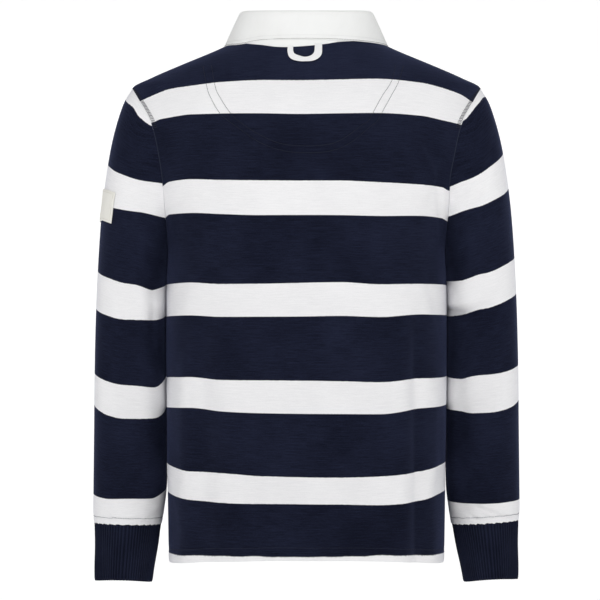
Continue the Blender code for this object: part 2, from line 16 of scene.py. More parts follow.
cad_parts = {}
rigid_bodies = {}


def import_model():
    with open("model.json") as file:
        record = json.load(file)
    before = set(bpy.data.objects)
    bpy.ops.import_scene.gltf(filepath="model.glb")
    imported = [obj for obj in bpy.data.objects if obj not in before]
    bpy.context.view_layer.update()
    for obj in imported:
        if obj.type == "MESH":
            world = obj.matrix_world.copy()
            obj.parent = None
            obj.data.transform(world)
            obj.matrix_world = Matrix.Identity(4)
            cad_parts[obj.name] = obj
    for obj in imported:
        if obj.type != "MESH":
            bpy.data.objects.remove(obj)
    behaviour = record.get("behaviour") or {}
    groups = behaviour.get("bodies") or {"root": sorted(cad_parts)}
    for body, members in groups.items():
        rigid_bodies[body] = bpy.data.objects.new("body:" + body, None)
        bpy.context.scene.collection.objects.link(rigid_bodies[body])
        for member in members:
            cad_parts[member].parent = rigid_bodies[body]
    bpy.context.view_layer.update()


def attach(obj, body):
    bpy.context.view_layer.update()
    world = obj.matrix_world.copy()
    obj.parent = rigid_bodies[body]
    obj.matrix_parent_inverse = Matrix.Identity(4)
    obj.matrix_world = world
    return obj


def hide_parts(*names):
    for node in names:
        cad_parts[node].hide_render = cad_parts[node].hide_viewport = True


MM = 0.001
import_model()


def rows_of(fields, *rows):
    """A table of numbers whose columns have names."""
    row = namedtuple("Row", fields)
    return [row(*values) for values in rows]


# ---------------------------------------------------------------- camera
CAMERA_DISTANCE = 3200.0
CAMERA_X = -8.8
CAMERA_Z = -344.4
SENSOR = 36.0
FIELD_AT_SHIRT = 816.0  # width that the view takes in at the middle of the shirt

# ---------------------------------------------------------------- cloth and seams
JERSEY = 1.5
COLLAR_CLOTH = 1.8
RIB_KNIT = 1.6
LABEL_CLOTH = 0.8
SHARP_ANGLE = 60
SEAM_GAP = 0.3
ARMHOLE_GAP = 0.06
STAND_GAP = 0.08

# Body: rings from the hem to the neck
HEM_SIDE_Z = -698.5
HEM_RISE = 12.0
ARMPIT_Z = -280.0
SHOULDER_TIP_Z = -57.0
NECK_SIDE_Z = 3.2
BACK_NECK_Z = -6.8
FRONT_NECK_Z = -78.0
NECK_HALF_WIDTH = 102.0
FRONT_NECK_ROUNDNESS = 1.6
# The back neckline isn't quite even: how much higher it is at places across the neck
BACK_NECK_WANDER = rows_of(
    "x rise",
    (-102, 0), (-70, -0.6), (-52, -1.2), (-26, -3.4), (-8, -2.2),
    (18, 0.6), (42, 3.6), (62, 3.6), (84, 1.6), (102, 0),
)

TORSO = rows_of(
    "z half_width back_depth front_depth power",
    (-699, 187.0, 122, 113, 3.7),
    (-600, 188.5, 122, 114, 3.8),
    (-480, 190.0, 124, 116, 3.85),
    (-380, 190.5, 127, 118, 3.75),
    (-320, 190.0, 129, 118, 3.4),
    (-280, 188.4, 129.5, 117.5, 2.85),
    (-262, 191.5, 129.5, 116.5, 2.62),
    (-240, 198.5, 129, 115, 2.30),
    (-210, 209.0, 128, 111.5, 2.08),
    (-184, 217.5, 126, 107.5, 1.97),
    (-140, 229.0, 121, 100.5, 1.88),
    (-100, 237.5, 114, 92, 1.86),
    (-78, 239.5, 109, 84, 1.88),
    (-57, 236.6, 103, 72, 1.9),
    (-44, 212.5, 99, 58, 1.93),
    (-26, 171.0, 93, 36, 1.96),
    (-8, 127.0, 87, 16, 2.0),
    (3.2, 102.0, 83, 6, 2.0),
)

# The armhole seam: how far it lies from the middle of the shirt at each height
ARMHOLE = rows_of(
    "z x",
    (-280, 188.0),
    (-262, 187.8),
    (-236, 189.0),
    (-184, 193.0),
    (-156, 197.0),
    (-110, 207.2),
    (-77, 224.3),
    (-57, 236.6),
)

# Soft upright folds of the body: a trough has a negative depth
BODY_FOLDS = rows_of(
    "side x top_z bottom_z lean width depth",
    ("back", -139, -300, -760, 6, 16, -5.6),
    ("back", -161, -380, -760, 0, 11, 3.4),
    ("back", 122, -330, -760, 4, 12, 3.4),
    ("back", 146, -330, -760, 3, 9.5, -5.6),
    ("back", 170, -420, -760, -3, 8, 1.8),
    ("back", -98, -420, -760, 10, 22, 2.4),
    ("back", -40, -440, -760, 12, 34, -3.2),
    ("back", 52, -470, -760, 8, 30, -2.2),
    ("front", -128, -320, -760, 4, 20, -5.5),
    ("front", 126, -350, -760, -5, 19, -5.0),
    ("front", 156, -400, -760, 0, 15, 3.0),
    ("front", 46, -430, -760, -10, 32, -3.0),
)
FOLD_FADE = 90.0

# Creases of the body: a soft line about (x, z), this long each way and turned from upright
BODY_CREASES = rows_of(
    "side x z length turn width depth",
    ("back", 168, -152, 36, -30, 10, -5.0),
    ("back", 142, -134, 34, -34, 9, 1.8),
    ("back", 172, -196, 34, 24, 9, -1.8),
    ("back", -158, -168, 40, -30, 12, -1.8),
    ("back", -176, -232, 30, -10, 7, -1.6),
    ("back", -168, -330, 34, 22, 8, -1.7),
    ("back", -150, -392, 40, 14, 9, 1.5),
    ("back", 185, -212, 34, 0, 4, 1.3),
    ("back", 176, -214, 40, -3, 4, -1.3),
    ("back", -180, -212, 34, 0, 5, 1.0),
    ("back", 168, -345, 42, -16, 8, -1.6),
    ("back", -172, -610, 46, -20, 8, 1.8),
    ("back", -158, -640, 40, -24, 7, -1.5),
    ("back", 172, -600, 52, 12, 8, -1.6),
    ("back", 64, -230, 60, 16, 16, -1.2),
    ("back", -66, -262, 70, -12, 18, -1.2),
    ("back", 18, -540, 80, 8, 15, 1.2),
    ("front", -150, -150, 46, -34, 12, -2.4),
    ("front", 152, -158, 46, 32, 12, -2.2),
    ("front", 172, -240, 36, 12, 8, -1.8),
    ("front", -172, -250, 36, -12, 8, -1.8),
    ("front", -96, -330, 60, -18, 14, -1.6),
    ("front", 92, -318, 56, 20, 13, -1.8),
    ("front", -60, -560, 70, -8, 14, 1.4),
    ("front", 104, -600, 60, 10, 12, 1.5),
)
# A crease is wider than its width on one side and narrower on the other
CREASE_GENTLE, CREASE_STEEP = 1.35, 0.75

# Sleeves: sections from the armhole to the cuff, given on the +X side
Section = namedtuple("Section", "inner_x inner_z outer_x outer_z middle_y half_depth power")
SLEEVE = [
    (188.0, -280, 236.6, -57, 0, 58, 2.0),
    (187.7, -288, 248.0, -76, 2, 63, 2.1),
    (188.4, -298, 256.5, -100, 5, 67, 2.25),
    (189.2, -311, 265.0, -133, 8, 70, 2.4),
    (189.9, -330, 272.0, -174, 11, 71, 2.55),
    (190.5, -358, 278.5, -225, 14, 70, 2.7),
    (191.0, -396, 283.3, -292, 17, 67, 3.0),
    (190.6, -442, 286.8, -366, 19, 63, 3.1),
    (190.2, -493, 288.8, -441, 20, 58, 3.05),
    (190.2, -545, 289.8, -515, 20, 52, 2.85),
    (190.8, -594, 290.7, -582, 19, 46, 2.65),
    (194.4, -629, 291.2, -627, 18, 42, 2.35),
    (197.4, -648, 290.4, -646, 17.5, 39, 2.3),
]
ARMHOLE_BLEND = 0.34  # the share of the sleeve over which the armhole's form fades out
ARMHOLE_CALM = 0.06  # the share over which its folds grow in
LONG_FOLD_FADE = 0.12
CUFF_LIFT_ONSET = (0.8, 0.2)
# Folds across a sleeve: place is the share of its length, angle 0 is under the arm,
# 90 the back, 180 the outer side and 270 the front
SLEEVE_FOLD = "place angle slant length_deg width depth"
SLEEVE_FOLDS = {
    "left": rows_of(
        SLEEVE_FOLD,
        (0.30, 62, 0.0016, 46, 0.030, -4.0),
        (0.395, 44, 0.0012, 34, 0.022, -4.5),
        (0.445, 52, 0.0014, 38, 0.024, 2.2),
        (0.55, 60, -0.0010, 52, 0.026, -3.4),
        (0.63, 76, 0.0010, 44, 0.022, 1.8),
        (0.76, 70, 0.0008, 44, 0.024, -2.8),
        (0.86, 96, -0.0008, 40, 0.020, -1.8),
        (0.925, 58, 0.0006, 44, 0.016, 1.6),
        (0.958, 112, -0.0018, 16, 0.008, -2.2),
        (0.966, 66, 0.0016, 14, 0.007, 1.8),
        (0.20, 128, 0.0012, 34, 0.022, -1.8),
        (0.48, 305, -0.0010, 46, 0.030, -3.5),
        (0.66, 300, 0.0012, 50, 0.026, -3.5),
        (0.84, 262, 0.0010, 44, 0.022, -2.4),
    ),
    "right": rows_of(
        SLEEVE_FOLD,
        (0.30, 62, 0.0016, 46, 0.030, -3.6),
        (0.442, 54, 0.00125, 56, 0.016, 2.6),
        (0.478, 52, 0.00125, 62, 0.021, -12.5),
        (0.56, 66, -0.0008, 46, 0.024, -2.0),
        (0.66, 84, -0.0010, 50, 0.026, -2.4),
        (0.76, 70, 0.0010, 44, 0.022, -3.2),
        (0.85, 60, -0.0010, 44, 0.020, -2.6),
        (0.915, 84, 0.0016, 34, 0.009, -2.4),
        (0.935, 108, 0.0018, 32, 0.009, 2.0),
        (0.955, 118, 0.0026, 14, 0.008, -3.0),
        (0.962, 96, 0.0030, 12, 0.007, 2.2),
        (0.966, 74, 0.0024, 12, 0.008, -2.8),
        (0.22, 122, -0.0012, 36, 0.024, -1.8),
        (0.48, 305, -0.0010, 46, 0.030, -3.5),
        (0.66, 300, 0.0012, 50, 0.026, -3.5),
        (0.83, 270, -0.0010, 44, 0.022, -2.4),
    ),
}
# Softer folds that run down a sleeve, on one side of the shirt
LONG_FOLD = "angle start end width_deg depth"
LONG_FOLDS = {
    "left": rows_of(
        LONG_FOLD,
        (118, 0.02, 0.30, 16, -2.0),
        (56, 0.36, 0.60, 10, -3.4),
        (82, 0.34, 0.58, 9, 1.6),
        (70, 0.30, 0.95, 15, 1.6),
        (112, 0.50, 0.98, 14, -1.4),
        (236, 0.30, 0.90, 18, -2.0),
        (280, 0.55, 0.98, 16, 1.6),
    ),
    "right": rows_of(
        LONG_FOLD,
        (100, 0.02, 0.34, 15, -1.6),
        (54, 0.52, 0.98, 22, -6.5),
        (104, 0.52, 0.96, 15, 1.4),
        (228, 0.25, 0.85, 18, -2.0),
        (288, 0.60, 0.98, 16, 1.6),
    ),
}

# Cuffs
CUFF_TOP_INSET = 0.8
CUFF_TUCK = 1.5  # how far its top goes up under the sleeve
LIFT_LOST = 0.4  # the share of a cuff's lift that its wrist lacks at the outer end
CUFF_HEIGHT = 77.5
CUFF_BOTTOM_OUTER_X = 289.6
CUFF_BOTTOM_DROP = 3.4  # the wrist's rim is this much lower at its inner and outer ends
CUFF_BOTTOM_HALF_DEPTH = 31.0
CUFF_RIBS = 74
RIB_RELIEF = 0.56  # half of a rib's height
RIB_ROUNDNESS = 0.8
CUFF_SAG = 0.6
WRIST_ROLL, WRIST_ROLL_ONSET = 0.5, (0.975, 0.025)

SIDES = rows_of("name sign cuff_lift wrist_inner_x", ("left", -1, 0.0, 210.4), ("right", 1, 3.5, 214.4))

# Collar
STAND_BACK_HEIGHT = 42.5
STAND_SIDE_HEIGHT = 38.5
STAND_FRONT_HEIGHT = 31.0
STAND_BACK_INSET = 9.0
STAND_SIDE_INSET = 15.6
STAND_FRONT_INSET = 14.0
COLLAR_END_ANGLE = 179.9
FALL_BACK_Y = -90.0
FALL_BACK_Z = 0.7
FALL_SIDE_X = 110.8
FALL_SIDE_Z = -2.4
FALL_POINT_X = 50.0
FALL_POINT_Z = -106.0
FALL_X_CURVE, FALL_Z_CURVE = 1.8, 1.1  # how its edge bends on the way to the points
FALL_BOW = 0.5
FALL_DIP_X = -90.0  # where the fall's lower edge sags at the back
FALL_DIP_WIDTH = 17.0
FALL_DIP = 2.6
# Faint upright creases of the fall, by the angle round the neck
COLLAR_CREASES = rows_of(
    "angle width depth",
    (-32, 3.2, 1.3),
    (-25, 3.0, -0.5),
    (-18, 3.2, 1.0),
    (-46, 4.0, -0.5),
    (12, 5.0, -0.35),
    (38, 5.0, 0.45),
    (64, 5.0, -0.6),
    (118, 7.0, 0.7),
    (-112, 7.0, -0.7),
    (-140, 6.0, 0.6),
)
FALL_OVER_BODY = 2.5
FALL_ROLL = rows_of("out up", (-2.3, 0.9), (-2.1, 2.9), (0.5, 4.3), (3.6, 3.5), (5.4, 0.7))
LEAF_SHARES = (0.12, 0.3, 0.52, 0.76, 1.0)

# Hanger loop: the middle line of its tape, from its left end to its right one
LOOP = rows_of(
    "x z width lift",
    (-21.2, -8.0, 7.6, 1.0),
    (-21.3, -16.4, 7.8, 2.0),
    (-18.2, -23.0, 8.8, 2.6),
    (-9.6, -26.4, 8.0, 3.0),
    (-1.6, -27.4, 6.6, 3.2),
    (7.6, -25.6, 8.4, 3.0),
    (14.2, -20.0, 10.4, 2.6),
    (15.4, -11.6, 10.0, 2.0),
    (15.4, -4.6, 10.0, 1.0),
)
LOOP_TAPE = 1.6
LOOP_CROWN = 0.5  # how much higher the tape's middle is than its edges
LOOP_ROUNDING = 0.3

# Label, placket and buttons
LABEL_TOP_Z = -193.5
LABEL_HEIGHT = 43.5
LABEL_FRONT_ANGLE = 190.0
LABEL_BACK_ANGLE = 122.0
LABEL_SLANT = 0.35
LABEL_LIFT = 0.9
LABEL_HEM = 3.2
LABEL_WIDTH = 64.0
# Its edges lie this much lower than its middle, from this share of its half size on
LABEL_EDGE_DROP, LABEL_EDGE_ONSET = 0.35, (0.9, 0.1)
LABEL_RIPPLE = 0.25
LABEL_STITCH_LIFT = 0.1
PLACKET_CLOTH = 1.4
PLACKET_CREASE = 0.35
PLACKET_ROLL = (-0.4, 1.2)
PLACKET_HALF_WIDTH = 16.0
PLACKET_TOP_Z = -80.5
PLACKET_BOTTOM_Z = -243.0
BUTTON_RADIUS = 5.6
BUTTON_THICKNESS = 2.8
BUTTONS = {"button_1": -94.0, "button_2": -158.0, "button_3": -222.0}
BUTTONHOLE_LENGTH = 15.0
HOLE_INNER_X, HOLE_OUTER_X = 0.25, 1.5  # of a buttonhole's two bars of stitches
BUTTON_LIFT = 1.2
BOX_HEIGHT = 14.0  # of the stitched box at the placket's foot
HOLE_PLACE = 1.7  # a button's holes lie this far from its middle
HOLE_RADIUS = 0.62
BUTTON_THREAD = 0.26
# A button's threads: level by share of its thickness, distance from the middle, how much
# higher the second pair is, and how much longer a thread is than its span
THREAD_LEVEL, THREAD_ASIDE, THREAD_OVER, THREAD_TAIL = 0.74, 0.22, 0.12, 1.2

# Sewing: a stitch's spacing, its thread's radius and how much of the spacing it fills
STITCH_PITCH = 2.3
THREAD = 0.24
STITCH_FILL = 0.84
# The curved double line of stitches that holds the half-moon patch inside the back
HALF_MOON = rows_of(
    "outer_x outer_z inner_x inner_z",
    (-138.0, -32.5, -126.7, -32.5),
    (-132.2, -61.4, -121.2, -60.6),
    (-127.4, -75.8, -116.2, -73.8),
    (-112.9, -99.9, -99.1, -99.9),
    (-88.0, -119.5, -78.0, -117.5),
    (-63.2, -136.9, -56.6, -130.3),
    (-34.4, -148.2, -31.8, -140.1),
    (-1.7, -151.9, -1.7, -142.7),
    (33.7, -148.7, 31.1, -140.1),
    (59.9, -136.6, 53.3, -129.4),
    (80.5, -118.9, 70.3, -116.0),
    (92.2, -109.8, 80.4, -109.4),
    (97.8, -99.9, 86.1, -99.9),
    (110.3, -77.1, 98.5, -77.1),
    (121.6, -55.7, 111.9, -55.7),
    (128.7, -32.5, 118.2, -32.5),
)
LADDER_NEAR = 2.2  # the armhole's zigzag lies between these distances from the seam
LADDER_FAR = 8.0
LADDER_PITCH = 2.6
LADDER_SLANT = 0.35  # how far a rung leans, as a share of the pitch
LADDER_END_Z = -116.0
HEM_STITCH = 18.0
SLEEVE_END_STITCH = 7.5
SLEEVE_END_DROP = 1.4
COLLAR_STITCH = 6.0
COLLAR_EDGE_STITCH = 1.3
PLACKET_STITCH = 2.4
PLACKET_STITCH_LIFT = 0.45

# ---------------------------------------------------------------- stripes
# Heights of the stripes' edges across the body: a is a white stripe's top, b its bottom
BODY_EDGES = ("a1", "b1", "a2", "b2", "a3", "b3", "a4", "b4", "a5", "b5", "hem")
BODY_LEVELS = rows_of(
    ("x",) + BODY_EDGES,
    (-224, -77.6, -112, -193, -237.5, -324, -367, -449, -489, -565, -603, -686),
    (-207, -71.6, -107.6, -193, -237.5, -323.5, -366.5, -448.5, -489, -565, -603, -686),
    (-194, -67.0, -103.1, -192.8, -237.0, -324.4, -367.4, -449.4, -489.8, -563, -601.5, -687),
    (-183, -63.6, -101.7, -187.2, -230.1, -323.1, -365.9, -447.9, -488.4, -566.1, -604.1, -685.6),
    (-154, -60.3, -98.6, -184.6, -229.2, -321.4, -364.7, -446.3, -486.7, -570.9, -608.5, -682.8),
    (-113, -56.3, -98.5, -186.6, -231.4, -323.5, -366.4, -449.3, -490.3, -571.4, -610.5, -680.4),
    (-60, -54.5, -99.1, -187.7, -233.4, -323.2, -366.2, -449.5, -492.5, -575.1, -611.4, -680.4),
    (-8, -55.0, -100.3, -188.4, -233.4, -322.0, -366.0, -449.9, -493.3, -576.5, -611.8, -681.2),
    (44, -53.8, -99.3, -188.2, -233.5, -321.1, -365.1, -450.6, -493.5, -577.0, -612.2, -680.4),
    (97, -52.2, -98.2, -189.9, -234.2, -323.9, -366.6, -452.1, -493.9, -575.6, -613.4, -679.5),
    (151, -56.0, -100.4, -192.0, -233.1, -323.2, -363.3, -448.0, -487.4, -570.9, -609.6, -681.9),
    (180, -61.7, -105.3, -194.3, -235.0, -323.7, -364.2, -448.1, -486.2, -564.8, -602.5, -684.9),
    (190, -64.6, -107.0, -198.5, -239.0, -324.4, -364.6, -447.6, -485.4, -563, -600.5, -686),
    (206, -69.6, -110.0, -199, -240, -323.7, -364.5, -448.1, -486, -562, -600, -686),
    (222, -78.7, -114, -199, -240, -323.7, -364.5, -448.1, -486, -562, -600, -686),
)
HEM_WAVER = 0.8
HEM_BLUR, HEM_BLUR_RUN = 0.62, 6.0  # how much softer the stripe's edge is at the hem
# The same edges round a sleeve, by the angle from under the arm over the back
SLEEVE_EDGES = ("b1", "a2", "b2", "a3", "b3", "a4", "b4", "a5")
SLEEVE_LEVELS = {
    "left": rows_of(
        ("angle",) + SLEEVE_EDGES,
        (0, -138, -196, -240, -322, -364, -446, -484, -600),
        (28, -134, -195, -238, -327, -369, -455.5, -497.5, -606.5),
        (56, -128, -192, -234, -331.2, -371.4, -462.2, -503.8, -613.0),
        (88, -119, -187, -227, -323.6, -370.9, -459.3, -504.2, -612.8),
        (118, -113, -176.6, -221.9, -315.2, -365.3, -453.6, -499.4, -613.4),
        (132.5, -100.4, -171.8, -219.5, -312.0, -362.3, -450.2, -495.0, -612.2),
        (148, -84, -166.4, -217, -308.7, -359.2, -446.9, -490.6, -610.6),
        (180, -69, -158, -212, -302, -354, -441, -484, -607),
    ),
    "right": rows_of(
        ("angle",) + SLEEVE_EDGES,
        (0, -138, -199, -240, -318.5, -366.5, -448, -491, -617),
        (28, -134, -198, -238, -319.3, -366.0, -450, -492.6, -619),
        (56, -130, -197, -232.4, -318.8, -364.0, -451, -494.6, -619.8),
        (77, -122, -193.2, -225.4, -314.4, -360.4, -447.4, -496.6, -619.7),
        (86, -120, -188.1, -222.5, -310.9, -357.5, -445.8, -496.4, -619.6),
        (116, -112, -169.2, -209.9, -299.3, -346.8, -440.8, -491.5, -618.2),
        (127.6, -102.2, -162.0, -205.8, -295.6, -343.2, -438.6, -489.0, -617.4),
        (134.5, -93.8, -158.6, -203.4, -293.6, -341.5, -437.3, -487.4, -617.1),
        (143.6, -83.9, -154.4, -200.2, -291.5, -339.3, -435.5, -484.8, -616.6),
        (152, -77.0, -151.0, -197.4, -289.6, -337.6, -434.2, -482.6, -616.2),
        (161, -71.0, -147.8, -194.8, -287.9, -335.8, -432.8, -480.8, -615.6),
        (180, -67.0, -144, -191.5, -285.6, -333.5, -430.6, -478.6, -614.4),
    ),
}


# ---------------------------------------------------------------- small sums


def along(table, column, at):
    """The named column of a table at values of its first column, on a monotone cubic."""
    xs = np.array([row[0] for row in table], float)
    ys = np.array([getattr(row, column) for row in table], float)
    at = np.clip(np.asarray(at, float), xs[0], xs[-1])
    k = np.clip(np.searchsorted(xs, at) - 1, 0, len(xs) - 2)
    span = np.diff(xs)
    slope = np.diff(ys) / span
    before, after = slope[:-1], slope[1:]
    same_way = before * after > 0
    total = np.where(same_way, before + after, 1.0)
    inner = np.where(same_way, 2 * before * after / total, 0.0)
    tangent = np.concatenate([slope[:1], inner, slope[-1:]])
    t = (at - xs[k]) / span[k]
    rise = ys[k + 1] - ys[k]
    start, end = tangent[k] * span[k], tangent[k + 1] * span[k]
    return ys[k] + t * (start + t * ((3 * rise - 2 * start - end) + t * (start + end - 2 * rise)))


def blend(a, b, t):
    return a + (b - a) * t


def smooth_step(t):
    t = np.clip(t, 0.0, 1.0)
    return t * t * (3 - 2 * t)


def grown(at, onset):
    """Grows from 0 to 1, from the onset's first number on and over its second."""
    return smooth_step((at - onset[0]) / onset[1])


def signed_power(value, power):
    return np.copysign(np.abs(value) ** power, value)


def unit(vectors):
    return vectors / np.linalg.norm(vectors, axis=-1, keepdims=True)


def points(*coordinates):
    return np.stack(np.broadcast_arrays(*coordinates), axis=-1)


def grid_normals(grid, closed, outward_from=None):
    """Normals of a grid of points, pointing away from its own middle line."""
    if closed:
        across = np.roll(grid, -1, axis=1) - np.roll(grid, 1, axis=1)
    else:
        across = np.gradient(grid, axis=1)
    normal = unit(np.cross(across, np.gradient(grid, axis=0)))
    centre = grid.mean(axis=1, keepdims=True) if outward_from is None else outward_from
    return -normal if (normal * (grid - centre)).sum() < 0 else normal


def run_length(grid, axis):
    """Distance along the rows or columns of a grid, from its first point."""
    steps = np.linalg.norm(np.diff(grid, axis=axis), axis=-1)
    start = np.zeros_like(np.take(steps, [0], axis=axis))
    return np.concatenate([start, np.cumsum(steps, axis=axis)], axis=axis)


def values_at(where, travelled, values):
    """Points or normals at distances along a line of them."""
    return np.stack([np.interp(where, travelled, values[:, k]) for k in range(3)], axis=-1)


def hump(offset, width):
    """A soft ridge of height 1 about offset 0."""
    return np.exp(-((offset / width) ** 2))


def dent(shape, offset):
    """A hump of a given height and width; sewing draws the cloth in with a negative one."""
    return shape[0] * hump(offset, shape[1])


def spread(share, size, way):
    """Rows of points at shares of each size, along each row's own direction."""
    return (share[None, :] * size[:, None])[..., None] * way[:, None, :]


def mean_girth(grid):
    """Distance round a closed grid, averaged over its rings."""
    return run_length(np.concatenate([grid, grid[:, :1]], axis=1), 1)[:, :-1].mean(axis=0)[None, :]


# ---------------------------------------------------------------- form of the body

FACING = {"back": -1, "front": 1}


def body_push(side, x, z):
    """How far the cloth is pushed out by folds and creases at a place."""
    total = np.zeros(np.broadcast(x, z).shape)
    for fold in BODY_FOLDS:
        if fold.side == side:
            down = (fold.top_z - z) / (fold.top_z - fold.bottom_z)
            centre = fold.x + fold.lean * down
            begun = smooth_step((fold.top_z - z) / FOLD_FADE)
            total = total + fold.depth * begun * hump(x - centre, fold.width)
    for crease in BODY_CREASES:
        if crease.side == side:
            lean = math.radians(crease.turn)
            dx, dz = x - crease.x, z - crease.z
            run = dz * math.cos(lean) + dx * math.sin(lean)
            off = dx * math.cos(lean) - dz * math.sin(lean)
            width = crease.width * np.where(off > 0, CREASE_GENTLE, CREASE_STEEP)
            total = total + crease.depth * np.exp(-((run / crease.length) ** 2) - (off / width) ** 2)
    return total


def body_point(side, angle, z):
    """Points of the body's outer face. The angle is 0 at the middle and a right angle at the side."""
    width = along(TORSO, "half_width", z)
    depth = along(TORSO, side + "_depth", z)
    power = along(TORSO, "power", z)
    facing = FACING[side]
    x = width * signed_power(np.sin(angle), 2 / power)
    y = facing * depth * np.cos(angle)
    out = points(signed_power(x / width, power - 1) * power / width, 2 * y / depth**2, 0 * x)
    push = body_push(side, x, np.asarray(z, float))
    return points(x, y + facing * SEAM_GAP / 2, z) + push[..., None] * unit(out)


def body_normal(side, angle, z):
    d_angle, d_z = 0.01, 0.5
    across = body_point(side, angle + d_angle, z) - body_point(side, angle - d_angle, z)
    low = np.maximum(z - d_z, TORSO[0].z)
    high = np.minimum(z + d_z, TORSO[-1].z)
    up = body_point(side, angle, high) - body_point(side, angle, low)
    normal = unit(np.cross(across, up))
    place = body_point(side, angle, z)
    reach = normal[..., 0] * place[..., 0] + normal[..., 1] * (place[..., 1] + FACING[side] * 40)
    return np.where(reach[..., None] < 0, -normal, normal)


def angle_at(x, z):
    """The body angle of a place that lies this far from the middle at this height."""
    share = np.clip(x / along(TORSO, "half_width", z), -1.0, 1.0)
    return np.arcsin(signed_power(share, along(TORSO, "power", z) / 2))


def neckline(side, across, even=False):
    """Angle and height of the neckline; across is 0 at the middle and 1 at the shoulder seam."""
    turn = across * np.pi / 2
    if side == "back":
        rise = 0.0 if even else along(BACK_NECK_WANDER, "rise", NECK_HALF_WIDTH * np.sin(turn))
        return turn, blend(BACK_NECK_Z, NECK_SIDE_Z, np.sin(turn) ** 2) + rise
    x = NECK_HALF_WIDTH * np.sin(turn)
    drop = np.maximum(np.cos(turn), 0.0) ** FRONT_NECK_ROUNDNESS
    z = NECK_SIDE_Z + (FRONT_NECK_Z - NECK_SIDE_Z) * drop
    return angle_at(x, z), z


def panel_place(side, across, edge_z):
    """Angle and height of a panel's points, from the share across and the row's height at the side."""
    neck_angle, neck_z = neckline(side, across)
    hem = HEM_SIDE_Z + HEM_RISE * np.cos(across * np.pi / 2) ** 2
    low_z = blend(hem, ARMPIT_Z, (edge_z - HEM_SIDE_Z) / (ARMPIT_Z - HEM_SIDE_Z))
    armhole = angle_at(along(ARMHOLE, "x", edge_z), edge_z)
    edge_angle = np.where(edge_z < SHOULDER_TIP_Z, armhole, np.pi / 2)
    up = np.clip((edge_z - ARMPIT_Z) / (NECK_SIDE_Z - ARMPIT_Z), 0.0, 1.0)
    high_angle = blend(across * edge_angle, neck_angle * edge_angle / (np.pi / 2), up**1.5)
    high_z = ARMPIT_Z + (neck_z - ARMPIT_Z) * up
    below = edge_z <= ARMPIT_Z
    return np.where(below, across * np.pi / 2, high_angle), np.where(below, low_z, high_z)


BODY_ROWS = 96
ARMHOLE_ROWS = 62
SHOULDER_ROWS = 20
PANEL_COLUMNS = 140


def panel_rows():
    body = np.linspace(HEM_SIDE_Z, ARMPIT_Z, BODY_ROWS, endpoint=False)
    armhole = np.linspace(ARMPIT_Z, SHOULDER_TIP_Z, ARMHOLE_ROWS + 1)
    shoulder = np.linspace(SHOULDER_TIP_Z, NECK_SIDE_Z, SHOULDER_ROWS + 1)[1:]
    return np.concatenate([body, armhole, shoulder])


def panel_grid(side):
    across = np.linspace(-1, 1, PANEL_COLUMNS + 1)[None, :]
    rows = panel_rows()[:, None]
    return body_point(side, *panel_place(side, across, rows))


# ---------------------------------------------------------------- stripes on a shell


def stripe_fields(z, edges, nominal, starts_white):
    """Cloth height, and signed distance from a stripe's edge, positive on white."""
    height = z + nominal[0] - edges[0]
    for k in range(len(edges) - 1):
        t = (z - edges[k]) / (edges[k + 1] - edges[k])
        height = np.where(z <= edges[k], nominal[k] + t * (nominal[k + 1] - nominal[k]), height)
    height = np.where(z <= edges[-1], z + nominal[-1] - edges[-1], height)
    passed = sum((height <= level).astype(int) for level in nominal)
    distance = np.min([np.abs(height - level) for level in nominal], axis=0)
    white = (passed % 2 == 0) == starts_white
    return height, np.where(white, distance, -distance)


def body_stripes(grid):
    x, z = grid[..., 0], grid[..., 2]
    edges = [along(BODY_LEVELS, name, x) for name in BODY_EDGES]
    edges[-1] = edges[-1] + HEM_WAVER * np.sin(x / 9.0) * np.sin(x / 23.0 + 1.0)
    middle = [float(along(BODY_LEVELS, name, 0.0)) for name in BODY_EDGES]
    height, white = stripe_fields(z, edges, middle, False)
    near_hem = smooth_step((HEM_STITCH - np.abs(height - middle[-1])) / HEM_BLUR_RUN)
    return height, white * (1 - HEM_BLUR * near_hem)


def sleeve_stripes(side, grid, turns):
    folded = np.degrees(np.where(turns > np.pi, 2 * np.pi - turns, turns))
    table = SLEEVE_LEVELS[side.name]
    edges = [along(table, name, folded)[None, :] for name in SLEEVE_EDGES]
    middle = [float(along(table, name, 90.0)) for name in SLEEVE_EDGES]
    return stripe_fields(grid[..., 2], edges, middle, True)


# ---------------------------------------------------------------- meshes


def new_object(name, data):
    made = bpy.data.objects.new(name, data)
    bpy.context.scene.collection.objects.link(made)
    return made


def only(made):
    """Selects one object and makes it the active one."""
    for other in bpy.context.scene.objects:
        other.select_set(other == made)
    bpy.context.view_layer.objects.active = made


def apply_modifiers(made):
    only(made)
    for modifier in list(made.modifiers):
        bpy.ops.object.modifier_apply(modifier=modifier.name)


